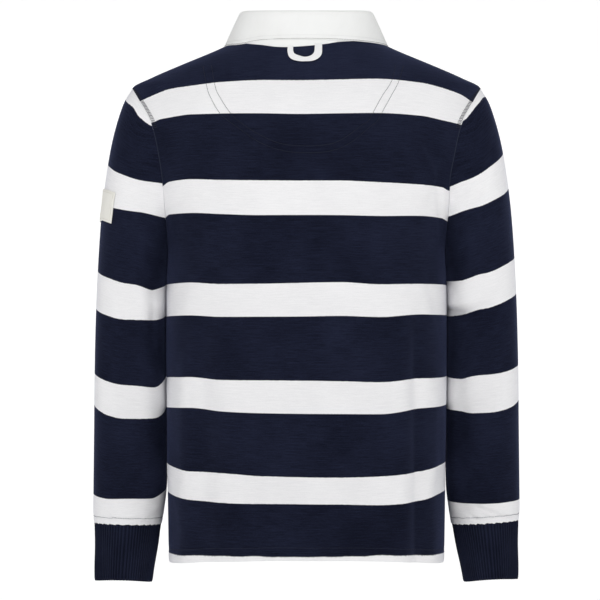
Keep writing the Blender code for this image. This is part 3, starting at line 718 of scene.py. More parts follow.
def cloth_shell(name, grid, normals, u=None, v=None, thickness=JERSEY, closed=False, fields=None, smooth=0):
    """A closed shell of cloth whose outer face is the grid, with its own UV map and fields.

    The map's u and v are distances along the grid unless they're given.
    """
    u = run_length(grid, 1) if u is None else u
    v = run_length(grid, 0) if v is None else v
    rows, columns = grid.shape[:2]
    spans = columns if closed else columns - 1
    row, column = np.meshgrid(np.arange(rows - 1), np.arange(spans), indexing="ij")
    row, column = row.ravel(), column.ravel()
    after = (column + 1) % columns
    low, high = row * columns, (row + 1) * columns
    faces = np.stack([low + column, low + after, high + after, high + column], axis=1)
    corner = grid[0, 0], grid[0, 1], grid[1, 0]
    if np.dot(np.cross(corner[1] - corner[0], corner[2] - corner[0]), normals[0, 0]) < 0:
        faces = faces[:, ::-1]
    mesh = bpy.data.meshes.new(name)
    mesh.from_pydata((grid.reshape(-1, 3) * MM).tolist(), [], faces.tolist())
    uv = mesh.uv_layers.new(name="cloth")
    loops = np.zeros(len(mesh.loops), int)
    mesh.loops.foreach_get("vertex_index", loops)
    u_map = np.broadcast_to(u, grid.shape[:2]).reshape(-1)[loops]
    if closed:
        around = float(np.max(u)) + float(np.max(u)) / (columns - 1)
        polygon = np.repeat(np.arange(len(faces)), 4)
        wraps = (column[polygon] == columns - 1) & (loops % columns == 0)
        u_map = u_map + np.where(wraps, around, 0.0)
    v_map = np.broadcast_to(v, grid.shape[:2]).reshape(-1)[loops]
    uv.data.foreach_set("uv", (np.stack([u_map, v_map], axis=1) * MM).ravel())
    for name_of_field, values in (fields or {}).items():
        attribute = mesh.attributes.new(name_of_field, "FLOAT", "POINT")
        spread = np.broadcast_to(values, grid.shape[:2])
        attribute.data.foreach_set("value", spread.astype(np.float32).ravel())
    mesh.shade_smooth()
    made = new_object(name, mesh)
    if smooth:
        rounder = made.modifiers.new("rounder", "SUBSURF")
        rounder.levels = rounder.render_levels = smooth
        rounder.boundary_smooth = "PRESERVE_CORNERS"
    wall = made.modifiers.new("wall", "SOLIDIFY")
    wall.thickness = thickness * MM
    wall.offset = -1.0
    apply_modifiers(made)
    made.data.shade_smooth()
    made.data.set_sharp_from_angle(angle=math.radians(SHARP_ANGLE))
    return made


def finish_piece(made, look, slot, *nodes):
    """Gives a piece its material and its place in the frame."""
    made.data.materials.clear()
    made.data.materials.append(look)
    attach(made, "root")
    if nodes:
        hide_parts(*nodes)
    return made


# ---------------------------------------------------------------- form of the sleeves


def section_at(side, place):
    rows = [(i / (len(SLEEVE) - 1), *row) for i, row in enumerate(SLEEVE)]
    table = rows_of(("place",) + Section._fields, *rows)
    values = {name: along(table, name, place) for name in Section._fields}
    values["outer_z"] = values["outer_z"] + side.cuff_lift * grown(place, CUFF_LIFT_ONSET)
    return Section(**values)


def section_point(side, section, turn):
    middle_x = (section.inner_x + section.outer_x) / 2
    middle_z = (section.inner_z + section.outer_z) / 2
    out = -signed_power(np.cos(turn), 2 / section.power)
    back = -signed_power(np.sin(turn), 2 / section.power)
    x = middle_x + out * (section.outer_x - section.inner_x) / 2
    z = middle_z + out * (section.outer_z - section.inner_z) / 2
    return points(side.sign * x, section.middle_y + back * section.half_depth, z)


def armhole_ring(side, panels, turns):
    """The sleeve's first ring: the armhole's edge, set off by the seam's gap."""
    rows = panel_rows()
    middle, half = (ARMPIT_Z + SHOULDER_TIP_Z) / 2, (SHOULDER_TIP_Z - ARMPIT_Z) / 2
    heights = middle - half * np.cos(turns)
    column = 0 if side.sign < 0 else -1
    edge = np.zeros((len(turns), 3))
    face = np.zeros((len(turns), 3))
    for panel_side, chosen in (("back", turns <= np.pi + 1e-9), ("front", turns > np.pi + 1e-9)):
        grid, normals = panels[panel_side]
        edge[chosen] = values_at(heights[chosen], rows, grid[:, column])
        face[chosen] = values_at(heights[chosen], rows, normals[:, column])
    for i in (0, int(np.argmin(np.abs(turns - np.pi)))):
        edge[i, 1] = 0.0
        face[i, 1] = 0.0
    face = unit(face)
    ahead = np.roll(edge, -1, axis=0) - np.roll(edge, 1, axis=0)
    away = unit(np.cross(ahead, face))
    toward = edge.mean(axis=0) - edge
    away = np.where((away * toward).sum(axis=1, keepdims=True) < 0, -away, away)
    top = ((1 - np.cos(turns)) / 2)[:, None]
    return edge + ARMHOLE_GAP * unit(top * away + (1 - top) * face)


def sleeve_push(side, place, turn):
    total = np.zeros(np.broadcast(place, turn).shape)
    degrees = np.degrees(turn)
    for fold in SLEEVE_FOLDS[side.name]:
        off = (degrees - fold.angle + 180) % 360 - 180
        centre = fold.place + fold.slant * off
        fade = np.exp(-((off / fold.length_deg) ** 2) * 2)
        total = total + fold.depth * fade * hump(place - centre, fold.width)
    for fold in LONG_FOLDS[side.name]:
        off = (degrees - fold.angle + 180) % 360 - 180
        ends = grown(place, (fold.start, LONG_FOLD_FADE)) * grown(-place, (-fold.end, LONG_FOLD_FADE))
        total = total + fold.depth * ends * hump(off, fold.width_deg)
    return total


SLEEVE_RINGS = 190
SLEEVE_TURNS = 112


def sleeve_grid(side, panels, turns, places):
    section = section_at(side, places[:, None])
    grid = section_point(side, section, turns[None, :])
    start = section_point(side, section_at(side, 0.0), turns)
    edge = armhole_ring(side, panels, turns)
    weight = np.clip(1 - places / ARMHOLE_BLEND, 0.0, 1.0) ** 2
    grid = grid + weight[:, None, None] * (edge - start)[None]
    centre = grid.mean(axis=1, keepdims=True)
    push = sleeve_push(side, places[:, None], turns[None, :])
    push = push * smooth_step(places / ARMHOLE_CALM)[:, None]
    return grid + push[..., None] * unit(grid - centre)


def cuff_grid(side, rows, per_rib):
    end = section_at(side, 1.0)
    top = end._replace(
        inner_x=end.inner_x + CUFF_TOP_INSET,
        outer_x=end.outer_x - CUFF_TOP_INSET,
        inner_z=end.inner_z + CUFF_TUCK,
        outer_z=end.outer_z + CUFF_TUCK,
        half_depth=end.half_depth - CUFF_TOP_INSET,
    )
    bottom = top._replace(
        inner_x=side.wrist_inner_x,
        outer_x=CUFF_BOTTOM_OUTER_X,
        inner_z=top.inner_z - CUFF_HEIGHT - CUFF_TUCK,
        outer_z=top.outer_z - CUFF_HEIGHT - CUFF_TUCK - LIFT_LOST * side.cuff_lift,
        half_depth=CUFF_BOTTOM_HALF_DEPTH,
    )
    share = np.linspace(0, 1, rows)[:, None]
    section = Section(*[blend(a, b, share) for a, b in zip(top, bottom)])
    count = CUFF_RIBS * per_rib
    turns = 2 * np.pi * np.arange(count) / count
    grid = section_point(side, section, turns[None, :])
    grid[..., 2] -= CUFF_BOTTOM_DROP * np.cos(turns) ** 2 * share**2
    normals = grid_normals(grid, closed=True)
    rib = (0.5 + 0.5 * np.cos(2 * np.pi * np.arange(count) / per_rib)) ** RIB_ROUNDNESS
    sag = CUFF_SAG * np.sin(turns * 3 + share * 5.0) * np.sin(share * np.pi)
    relief = (rib - 1.0) * 2 * RIB_RELIEF + sag
    roll = -WRIST_ROLL * grown(share, WRIST_ROLL_ONSET)
    return grid + (relief + roll)[..., None] * normals, rib


# ---------------------------------------------------------------- form of the collar


def neck_edge(angle, even=False):
    """The neckline's outer edge; 0 is the middle of the back, 180 the middle of the front."""
    sign = np.copysign(1.0, angle)
    if abs(angle) <= 90:
        return body_point("back", *neckline("back", sign * abs(angle) / 90, even))
    return body_point("front", *neckline("front", sign * (180 - abs(angle)) / 90))


def around_neck(angle, back, side, front):
    if abs(angle) <= 90:
        return blend(back, side, smooth_step(abs(angle) / 90))
    return blend(side, front, smooth_step((abs(angle) - 90) / 90))


def outward(point):
    return unit(np.array([point[0], point[1], 0.0]))


def stand_top(angle):
    edge = neck_edge(angle, even=True)
    height = around_neck(angle, STAND_BACK_HEIGHT, STAND_SIDE_HEIGHT, STAND_FRONT_HEIGHT)
    inset = around_neck(angle, STAND_BACK_INSET, STAND_SIDE_INSET, STAND_FRONT_INSET)
    return edge - inset * outward(edge) + np.array([0, 0, height])


COLLAR_COLUMNS = 96


def collar_angles():
    return np.linspace(-COLLAR_END_ANGLE, COLLAR_END_ANGLE, COLLAR_COLUMNS + 1)


def fall_edge(angle):
    """The lower edge of the collar's fall, down to the collar points in front."""
    sign = float(np.copysign(1.0, angle))
    front = max(abs(angle) - 90, 0) / 90
    x = FALL_SIDE_X - (FALL_SIDE_X - FALL_POINT_X) * front**FALL_X_CURVE
    z = FALL_SIDE_Z + (FALL_POINT_Z - FALL_SIDE_Z) * front**FALL_Z_CURVE
    turn = float(angle_at(x, z))
    if abs(angle) >= 90:
        resting = body_point("front", sign * turn, z)
        return resting + FALL_OVER_BODY * body_normal("front", sign * turn, z)
    quarter = math.radians(abs(angle))
    side = fall_edge(sign * 90)
    x = side[0] * math.sin(quarter)
    z = blend(FALL_BACK_Z, side[2], math.sin(quarter) ** 2)
    z -= FALL_DIP * hump(x - FALL_DIP_X, FALL_DIP_WIDTH)
    resting_y = body_point("back", float(angle_at(x, z)), z)[1] - FALL_OVER_BODY
    return np.array([x, min(FALL_BACK_Y * math.cos(quarter) + side[1], resting_y), z])


def stand_grid():
    rows = []
    for t in np.linspace(0, 1, 7):
        row = []
        for angle in collar_angles():
            edge = neck_edge(angle)
            start = edge + np.array([0, 0, STAND_GAP]) - SEAM_GAP * outward(edge)
            row.append(blend(start, stand_top(angle), t))
        rows.append(row)
    return np.array(rows)


def collar_crease(angles):
    return sum(row.depth * hump(angles - row.angle, row.width) for row in COLLAR_CREASES)


def fall_grid():
    tops = [(stand_top(angle), fall_edge(angle)) for angle in collar_angles()]
    rows = []
    for roll in FALL_ROLL:
        rows.append([top + roll.out * outward(top) + np.array([0, 0, roll.up]) for top, _ in tops])
    turned = rows[-1]
    for share in LEAF_SHARES:
        bow = FALL_BOW * math.sin(math.pi * share) + share * collar_crease(collar_angles())
        ends = np.array([end for _, end in tops])
        out = unit(ends * [1.0, 1.0, 0.0])
        rows.append(blend(np.array(turned), ends, share) + bow[:, None] * out)
    return np.array(rows)


# ---------------------------------------------------------------- shaders


class Wire:
    """A node socket whose sums and products add Math nodes."""

    def __init__(self, tree, socket=None):
        self.tree = tree
        self.socket = socket

    def node(self, kind, settings=None, output=0, **inputs):
        """Adds a node: its settings first, then its inputs, named with _ for a space or by number."""
        made = self.tree.nodes.new(kind)
        for name, value in (settings or {}).items():
            setattr(made, name, value)
        for name, value in inputs.items():
            key = int(name[1:]) if name[0] == "i" and name[1:].isdigit() else name.replace("_", " ")
            if isinstance(value, Wire):
                self.tree.links.new(value.socket, made.inputs[key])
            else:
                made.inputs[key].default_value = value
        return Wire(self.tree, made.outputs[output])

    def output(self, number):
        """Another output of the same node."""
        return Wire(self.tree, self.socket.node.outputs[number])

    def sum(self, operation, first, second):
        return self.node("ShaderNodeMath", {"operation": operation}, i0=first, i1=second)

    def __add__(self, other):
        return self.sum("ADD", self, other)

    def __radd__(self, other):
        return self.sum("ADD", other, self)

    def __sub__(self, other):
        return self.sum("SUBTRACT", self, other)

    def __rsub__(self, other):
        return self.sum("SUBTRACT", other, self)

    def __mul__(self, other):
        return self.sum("MULTIPLY", self, other)

    def __rmul__(self, other):
        return self.sum("MULTIPLY", other, self)

    def __truediv__(self, other):
        return self.sum("DIVIDE", self, other)


def clamp(wire):
    return wire.node("ShaderNodeClamp", Value=wire)


def sine(wire):
    return wire.node("ShaderNodeMath", {"operation": "SINE"}, i0=wire)


def absolute(wire):
    return wire.node("ShaderNodeMath", {"operation": "ABSOLUTE"}, i0=wire)


def mix(start, share, first, second):
    """Blends two colours."""
    return start.node("ShaderNodeMix", {"data_type": "RGBA"}, output=2, i0=share, i6=first, i7=second)


def field(start, name):
    """A number that the mesh carries at each of its points."""
    return start.node("ShaderNodeAttribute", {"attribute_name": name}, output=2)


def noise(start, vector, scale, detail, roughness):
    return start.node("ShaderNodeTexNoise", Vector=vector, Scale=scale, Detail=detail, Roughness=roughness)


def cloth_noise(start, u, v, detail=2.0, roughness=0.5):
    """Noise over the cloth, whose grain is set by the factors on u and v."""
    return noise(start, start.node("ShaderNodeCombineXYZ", X=u, Y=v), 1.0, detail, roughness)


def cloth_map(start):
    """The cloth's own coordinates, in millimetres across and along."""
    uv = start.node("ShaderNodeUVMap", {"uv_map": "cloth"})
    split = start.node("ShaderNodeSeparateXYZ", i0=uv)
    return split * 1000.0, split.output(1) * 1000.0


def new_material(name, roughness, sheen=0.0, sheen_roughness=0.5, specular=0.5):
    look = bpy.data.materials.new(name)
    look.use_nodes = True
    shader = look.node_tree.nodes["Principled BSDF"]
    shader.inputs["Roughness"].default_value = roughness
    shader.inputs["Sheen Weight"].default_value = sheen
    shader.inputs["Metallic"].default_value = 0.0
    shader.inputs["Sheen Roughness"].default_value = sheen_roughness
    shader.inputs["Specular IOR Level"].default_value = specular
    return look, shader, Wire(look.node_tree)


def set_surface(start, shader, colour, height, strength, depth):
    """Links a colour and a relief, whose depth is in metres, to a shader."""
    start.tree.links.new(colour.socket, shader.inputs["Base Color"])
    bump = start.node("ShaderNodeBump", Strength=strength, Distance=depth, Height=height)
    start.tree.links.new(bump.socket, shader.inputs["Normal"])


NAVY_DEEP = (0.0030, 0.0040, 0.0104, 1.0)
# the paler navy, for random fading and for painted light
NAVY_FADED_AND_LIT = (0.0165, 0.0205, 0.0445, 1.0)
# the navy's painted highlight along the seams
NAVY_SEAM_HIGHLIGHT = (0.040, 0.045, 0.070, 1.0)
WHITE_BRIGHT = (0.905, 0.900, 0.908, 1.0)
WHITE_DULL = (0.735, 0.732, 0.745, 1.0)
SHEEN_TINT = (0.38, 0.46, 0.95, 1.0)
SEAM_HIGHLIGHT_WIDTH = 1.5  # painted highlight: the navy is paler this close to a seam, where its ridge would catch light
SHOULDER_LIGHT_RUN, SHOULDER_PAINTED_LIGHT = 130.0, 0.36  # painted light: paler over this height at the shoulders, by this share
LOW_Z, LOW_RUN, LOW_PAINTED_SHADE = 520.0, 150.0, 0.12  # painted shade: the navy is deeper from this far down, over this run, by this share
WHITE_SHADE_Z, WHITE_SHADE_RUN, WHITE_PAINTED_SHADE = 150.0, 450.0, 0.42  # the same painted shade for the white, which gets darker lower down
STREAK_FLOOR = 1.5  # taken from the sum of the noises, to bring it down to between 0 and 1
STRIPE_WANDER = 1.1  # how far, in millimetres, the yarns stray over a stripe's edge
STRIPE_SHARPNESS = 2.6
WALE = 1.25  # width of one column of knit stitches
COURSE = 1.0  # height of one row
PUCKER = 16.0  # how much sewing gathers the cloth
RIB_COURSE = 1.3


def jersey(name):
    """Heavy cotton jersey in navy and white stripes, knitted in, with faint slubs along its rows."""
    look, shader, start = new_material(name, roughness=0.92, sheen=0.13, sheen_roughness=0.4, specular=0.06)
    shader.inputs["Sheen Tint"].default_value = SHEEN_TINT
    u, v = cloth_map(start)
    rows = cloth_noise(start, u * 0.035, v * 0.9, 3.0, 0.6)
    slubs = cloth_noise(start, u * 0.12, v * 0.45, 2.0, 0.6)
    faded = cloth_noise(start, u * 0.012, v * 0.010)
    specks = cloth_noise(start, u * 0.9, v * 0.9, 1.0)
    # Painted light from above: the navy is paler towards the shoulders and deeper low down, on top of the
    # random streaks
    shoulder_light = clamp((v + SHOULDER_LIGHT_RUN) / SHOULDER_LIGHT_RUN) * SHOULDER_PAINTED_LIGHT
    painted_light_and_shade = shoulder_light - clamp((v + LOW_Z) / -LOW_RUN) * LOW_PAINTED_SHADE
    streaks_and_painted_light = clamp(rows * 1.3 + slubs * 0.5 + faded * 0.8 + specks * 1.2 - STREAK_FLOOR + painted_light_and_shade)
    wander = cloth_noise(start, u * 0.7, v * 0.15, 1.0)
    mask = clamp(0.5 + (field(start, "white") + (wander - 0.5) * STRIPE_WANDER) * STRIPE_SHARPNESS)
    # Painted highlight: the navy turns paler close to the seams, as if their ridges caught the light
    tone_share = clamp(1.0 - field(start, "rim") / SEAM_HIGHLIGHT_WIDTH)
    navy = mix(start, tone_share, mix(start, streaks_and_painted_light, NAVY_DEEP, NAVY_FADED_AND_LIT), NAVY_SEAM_HIGHLIGHT)
    # Painted shade: the white grows darker lower down
    low = clamp((v + WHITE_SHADE_Z) / -WHITE_SHADE_RUN) * WHITE_PAINTED_SHADE
    pale = mix(start, clamp(streaks_and_painted_light * 0.7 + low), WHITE_BRIGHT, WHITE_DULL)
    shader.inputs["Base Color"].default_value = WHITE_BRIGHT
    lean = absolute(sine(u * (math.pi / WALE)))
    loops = sine(v * (2 * math.pi / COURSE) + lean * 1.6) * 0.5
    pucker = cloth_noise(start, u * 0.22, v * 0.10, 1.0) * field(start, "sewn") * PUCKER
    height = loops + lean * 0.6 + slubs * 1.2 + pucker
    set_surface(start, shader, mix(start, mask, navy, pale), height, 0.35, 0.00025)
    return look


def rib_knit(name):
    """The cuffs' rib: paler on the crests and deep in the valleys, a painted highlight and painted shade."""
    look, shader, start = new_material(name, roughness=0.95, sheen=0.02, specular=0.06)
    u, v = cloth_map(start)
    specks = cloth_noise(start, u * 0.5, v * 0.8, 2.0, 0.6)
    faded = cloth_noise(start, u * 0.03, v * 0.02)
    # painted highlight on the rib's crests and painted shade in its valleys, over random specks and fading
    share = clamp(specks * 0.7 + faded * 0.7 + field(start, "rib") * 0.5 - 0.62)
    height = sine(v * (2 * math.pi / RIB_COURSE)) * 0.5 + specks
    set_surface(start, shader, mix(start, share, NAVY_DEEP, NAVY_FADED_AND_LIT), height, 0.4, 0.0003)
    return look


def twill(name, light, dark, pitch):
    """A fine diagonal weave for the collar, the loop, the placket and the label."""
    look, shader, start = new_material(name, roughness=0.85, sheen=0.05, specular=0.3)
    u, v = cloth_map(start)
    diagonal = sine((u + v) * (2 * math.pi / pitch)) * 0.5
    yarn = sine((u - v * 0.7) * (2 * math.pi / (pitch * 0.8))) * 0.25
    tone_share = cloth_noise(start, u * 0.05, v * 0.03, 3.0, 0.6)
    colour = mix(start, clamp(tone_share * 0.9 + diagonal * 0.12 - 0.1), light, dark)
    set_surface(start, shader, colour, diagonal + yarn + tone_share, 0.3, 0.0002)
    return look


def thread(name, light, dark):
    look, shader, start = new_material(name, roughness=0.7, specular=0.3)
    twist = noise(start, start.node("ShaderNodeTexCoord", output=3), 900.0, 2.0, 0.6)
    set_surface(start, shader, mix(start, twist, light, dark), twist, 0.3, 0.0002)
    return look


def button_look(name):
    """Pale pressed rubber with a faint cloudiness."""
    look, shader, start = new_material(name, roughness=0.5, specular=0.4)
    place = start.node("ShaderNodeTexCoord", output=3)
    cloud = noise(start, place, 160.0, 3.0, 0.5)
    grain = noise(start, place, 1800.0, 2.0, 0.5)
    start.tree.links.new((0.38 + cloud * 0.2).socket, shader.inputs["Roughness"])
    colour = mix(start, cloud, (0.80, 0.80, 0.775, 1), (0.70, 0.70, 0.67, 1))
    set_surface(start, shader, colour, grain, 0.15, 0.0002)
    return look


# ---------------------------------------------------------------- sewing


def tube_faces(rings, sides):
    """The faces between rings of points, each ring having this many."""
    faces = []
    for low in range(0, (rings - 1) * sides, sides):
        for k in range(sides):
            a, b = low + k, low + (k + 1) % sides
            faces.append((a, a + sides, b + sides, b))
    return faces


STITCH_SIDES = 6
# The rings of one stitch: place along it, radius and lift
STITCH_RINGS = (
    (-0.5, 0.45, -1.1), (-0.34, 0.9, -0.1), (0.0, 1.0, 0.25), (0.34, 0.9, -0.1), (0.5, 0.45, -1.1),
)


def stitch_form():
    """One stitch of length 1 along X and radius 1, its ends sunk into the cloth."""
    form = []
    for place, radius, lift in STITCH_RINGS:
        for k in range(STITCH_SIDES):
            turn = 2 * math.pi * k / STITCH_SIDES
            form.append((place, radius * math.cos(turn), radius * math.sin(turn) + lift))
    faces = tube_faces(len(STITCH_RINGS), STITCH_SIDES)
    faces.append(tuple(range(STITCH_SIDES)))
    faces.append(tuple(range(len(form) - 1, len(form) - 1 - STITCH_SIDES, -1)))
    return np.array(form), faces


def smooth_path(knots, steps=14):
    """A Catmull-Rom curve through rows of numbers."""
    knots = np.array(knots, float)
    padded = np.concatenate([2 * knots[:1] - knots[1:2], knots, 2 * knots[-1:] - knots[-2:-1]])
    t = np.linspace(0, 1, steps, endpoint=False)[:, None]
    path = []
    for a, b, c, d in zip(padded, padded[1:], padded[2:], padded[3:]):
        squared, cubed = 2 * a - 5 * b + 4 * c - d, 3 * b - a - 3 * c + d
        path.append(0.5 * (2 * b + (c - a) * t + squared * t**2 + cubed * t**3))
    return np.concatenate(path + [knots[-1:]])


Stitches = namedtuple("Stitches", "middle ahead up length radius")


def stitches_between(start, end, up, radius, fill=1.0):
    """Stitches that each fill a share of the way from one point to another."""
    step = end - start
    length = np.linalg.norm(step, axis=1) * fill
    return Stitches((start + end) / 2, unit(step), up, length, np.full(len(step), radius))


def run_of_stitches(path, normals, pitch=STITCH_PITCH, radius=THREAD, closed=False):
    """Stitches end to end along a path on the cloth."""
    if closed:
        path = np.concatenate([path, path[:1]])
        normals = np.concatenate([normals, normals[:1]])
    travelled = run_length(path, 0)
    count = max(int(travelled[-1] / pitch), 1)
    places = np.arange(count + 1) * travelled[-1] / count
    ends = values_at(places, travelled, path)
    up = unit(values_at((places[1:] + places[:-1]) / 2, travelled, normals))
    return stitches_between(ends[:-1], ends[1:], up, radius, STITCH_FILL)


def rungs(near, far, normals, pitch, radius):
    """Stitches that each cross from one line on the cloth to another."""
    travelled = run_length((near + far) / 2, 0)
    places = np.arange(pitch / 2, travelled[-1], pitch)
    start = values_at(places, travelled, near)
    end = values_at(places + pitch * LADDER_SLANT, travelled, far)
    return stitches_between(start, end, unit(values_at(places, travelled, normals)), radius)


def zigzag(near, far, normals, pitch, radius):
    """Stitches that cross back and forth between two lines on the cloth."""
    travelled = run_length((near + far) / 2, 0)
    count = int(travelled[-1] / pitch)
    places = np.arange(count + 1) * travelled[-1] / count
    even = (np.arange(count + 1) % 2 == 0)[:, None]
    corners = np.where(even, values_at(places, travelled, near), values_at(places, travelled, far))
    up = values_at(places, travelled, normals)
    return stitches_between(corners[:-1], corners[1:], unit(up[1:] + up[:-1]), radius)


def sew(name, look, slot, runs):
    """All the stitches of some runs as one mesh."""
    form, form_faces = stitch_form()
    middle, ahead, up, length, radius = (
        np.concatenate([np.array(run[i]) for run in runs]) for i in range(len(Stitches._fields))
    )
    aside = unit(np.cross(up, ahead))
    up = np.cross(ahead, aside)
    x, y, z = form.T
    placed = middle[:, None, :] + spread(x, length, ahead) + spread(y, radius, aside) + spread(z, radius, up)
    faces = [tuple(k * len(form) + i for i in face) for k in range(len(middle)) for face in form_faces]
    mesh = bpy.data.meshes.new(name)
    mesh.from_pydata((placed.reshape(-1, 3) * MM).tolist(), [], faces)
    mesh.shade_smooth()
    return finish_piece(new_object(name, mesh), look, slot)


def on_body(side, x, z, lift=0.0):
    """Points and normals of the body's face at distances from the middle and heights."""
    turn = angle_at(x, z)
    normal = body_normal(side, turn, z)
    return body_point(side, turn, z) + lift * normal, normal


def beside_armhole(side, sign, distance):
    """A line on a panel at a distance from its armhole's seam, down from the shoulder."""
    grid, normals = panels[side]
    rows = panel_rows()
    chosen = [i for i, z in enumerate(rows) if LADDER_END_Z < z < SHOULDER_TIP_Z + 1]
    path, face = [], []
    for i in chosen[::-1]:
        line, out = (grid[i], normals[i]) if sign > 0 else (grid[i, ::-1], normals[i, ::-1])
        travelled = run_length(line, 0)
        where = travelled[-1] - distance
        path.append(values_at(where, travelled, line))
        face.append(values_at(where, travelled, out))
    return np.array(path), unit(np.array(face))


# ---------------------------------------------------------------- build the cloth

jersey_look = jersey("striped_jersey")
rib_look = rib_knit("rib_knit")
collar_look = twill("collar_twill", (0.90, 0.905, 0.895, 1), (0.83, 0.835, 0.825, 1), 1.1)
loop_look = twill("loop_tape", (0.87, 0.875, 0.88, 1), (0.80, 0.80, 0.80, 1), 1.0)
label_look = twill("label_cloth", (0.86, 0.85, 0.80, 1), (0.79, 0.775, 0.72, 1), 0.8)
navy_thread = thread("navy_thread", (0.013, 0.015, 0.030, 1), (0.006, 0.007, 0.015, 1))
grey_thread = thread("grey_thread", (0.16, 0.17, 0.21, 1), (0.08, 0.09, 0.12, 1))
cream_thread = thread("cream_thread", (0.74, 0.72, 0.66, 1), (0.62, 0.60, 0.53, 1))
pressed_rubber = button_look("pressed_rubber")
white_thread = thread("white_thread", (0.84, 0.84, 0.84, 1), (0.72, 0.72, 0.72, 1))
# darker grey thread, partly a painted shadow line under the collar's edge
stone_thread = thread("stone_thread", (0.34, 0.34, 0.33, 1), (0.24, 0.24, 0.24, 1))

# How uneven a sleeve's end is over its cuff, and where that grows in, by share of its length
RAGGED, RAGGED_ONSET = 1.0, (0.985, 0.015)
# Where sewing draws the cloth in: how far, and how wide
PANEL_SEAM = (-0.12, 2.6)
HEM_TUCK = (-0.5, 2.2)
HEM_ROLL = (-0.7, 1.6)
ARMHOLE_ROLL = (-0.08, 0.006)  # wide by share of the sleeve
UNDERARM_SEAM = (-0.5, 0.035)  # wide by angle
SLEEVE_TUCK = (-0.6, 1.3)
SLEEVE_ROLL = (-0.6, 1.5)
BODY_CENTRE = np.array([0.0, 0.0, -300.0])
STITCH_LIFT = 0.12  # of stitches on the jersey
HEM_SUNK, SLEEVE_END_SUNK = 0.3, 0.25  # where they pull the cloth in
COLLAR_STITCH_LIFT = 0.15
HEM_SEWN = 0.4  # how strongly the hem puckers, where a sleeve's end is 1
SLEEVE_SEWN = (15.0, 10.0)  # the pucker begins this far over a sleeve's end and grows over this run

panels = {}
for side in ("back", "front"):
    grid = panel_grid(side)
    panels[side] = (grid, grid_normals(grid, closed=False, outward_from=BODY_CENTRE))


def make_panel(side):
    grid, normals = panels[side]
    z = grid[..., 2]
    height, white = body_stripes(grid)
    run = run_length(grid, 1)
    across = run - run[:, PANEL_COLUMNS // 2][:, None]
    edge = np.minimum(run, run[:, -1:] - run)
    hem_line = z[:1] + HEM_STITCH
    drawn = dent(PANEL_SEAM, edge) + dent(HEM_TUCK, z - hem_line) + dent(HEM_ROLL, z - z[:1])
    sewn = HEM_SEWN * smooth_step((hem_line - z) / HEM_STITCH)
    fields = {"white": white, "rim": edge, "sewn": sewn}
    shaped = grid + drawn[..., None] * normals
    shell = cloth_shell(side + "_cloth", shaped, normals, across, height, JERSEY, fields=fields)
    return finish_piece(shell, jersey_look, "striped_jersey", side + "_panel")


back_cloth = make_panel("back")
front_cloth = make_panel("front")

sleeve_turns = 2 * np.pi * np.arange(SLEEVE_TURNS) / SLEEVE_TURNS
sleeve_places = np.concatenate([np.linspace(0, 0.05, 16)[:-1], np.linspace(0.05, 1, SLEEVE_RINGS - 15)])
sleeves = {}


def make_sleeve(side):
    grid, normals = sleeves[side.name]
    height, white = sleeve_stripes(side, grid, sleeve_turns)
    above = grid[..., 2] - grid[-1:, :, 2]
    underarm = np.minimum(sleeve_turns, 2 * np.pi - sleeve_turns)
    end_tuck = dent(SLEEVE_TUCK, above - SLEEVE_END_STITCH) + dent(UNDERARM_SEAM, underarm)
    drawn = dent(ARMHOLE_ROLL, sleeve_places)[:, None] + end_tuck + dent(SLEEVE_ROLL, above)
    shaped = grid + drawn[..., None] * normals
    count = np.arange(SLEEVE_TURNS)
    ragged = RAGGED * np.sin(count * 2.4) * np.sin(count * 0.83 + side.sign)
    shaped[..., 2] += (ragged - SLEEVE_END_DROP) * grown(sleeve_places[:, None], RAGGED_ONSET)
    sewn = smooth_step((SLEEVE_SEWN[0] - above) / SLEEVE_SEWN[1])
    fields = {"white": white, "rim": run_length(grid, 0) + 1.0, "sewn": sewn}
    name, girth = "sleeve_cloth_" + side.name, mean_girth(grid)
    shell = cloth_shell(name, shaped, normals, girth, height, JERSEY, closed=True, fields=fields)
    return finish_piece(shell, jersey_look, "striped_jersey", "sleeve_" + side.name)


def make_cuff(side):
    grid, rib = cuff_grid(side, rows=26, per_rib=6)
    name, girth = "cuff_knit_" + side.name, mean_girth(grid)
    normals = grid_normals(grid, closed=True)
    shell = cloth_shell(name, grid, normals, girth, grid[..., 2], RIB_KNIT, closed=True, fields={"rib": rib})
    return finish_piece(shell, rib_look, "rib_knit", "cuff_" + side.name)


for side in SIDES:
    grid = sleeve_grid(side, panels, sleeve_turns, sleeve_places)
    sleeves[side.name] = (grid, grid_normals(grid, closed=True))
    shell = make_sleeve(side)
    shell = make_cuff(side)


def make_leaf(part, grid, normals, smooth):
    shell = cloth_shell(part + "_cloth", grid, normals, thickness=COLLAR_CLOTH, smooth=smooth)
    return finish_piece(shell, collar_look, "collar_twill", part)


stand = stand_grid()
shell = make_leaf("collar_stand", stand, grid_normals(stand, closed=False), smooth=1)

fall = fall_grid()
fall_normals = grid_normals(fall, closed=False)
if fall_normals[-2, COLLAR_COLUMNS // 2, 1] > 0:
    fall_normals = -fall_normals
shell = make_leaf("collar_fall", fall, fall_normals, smooth=2)


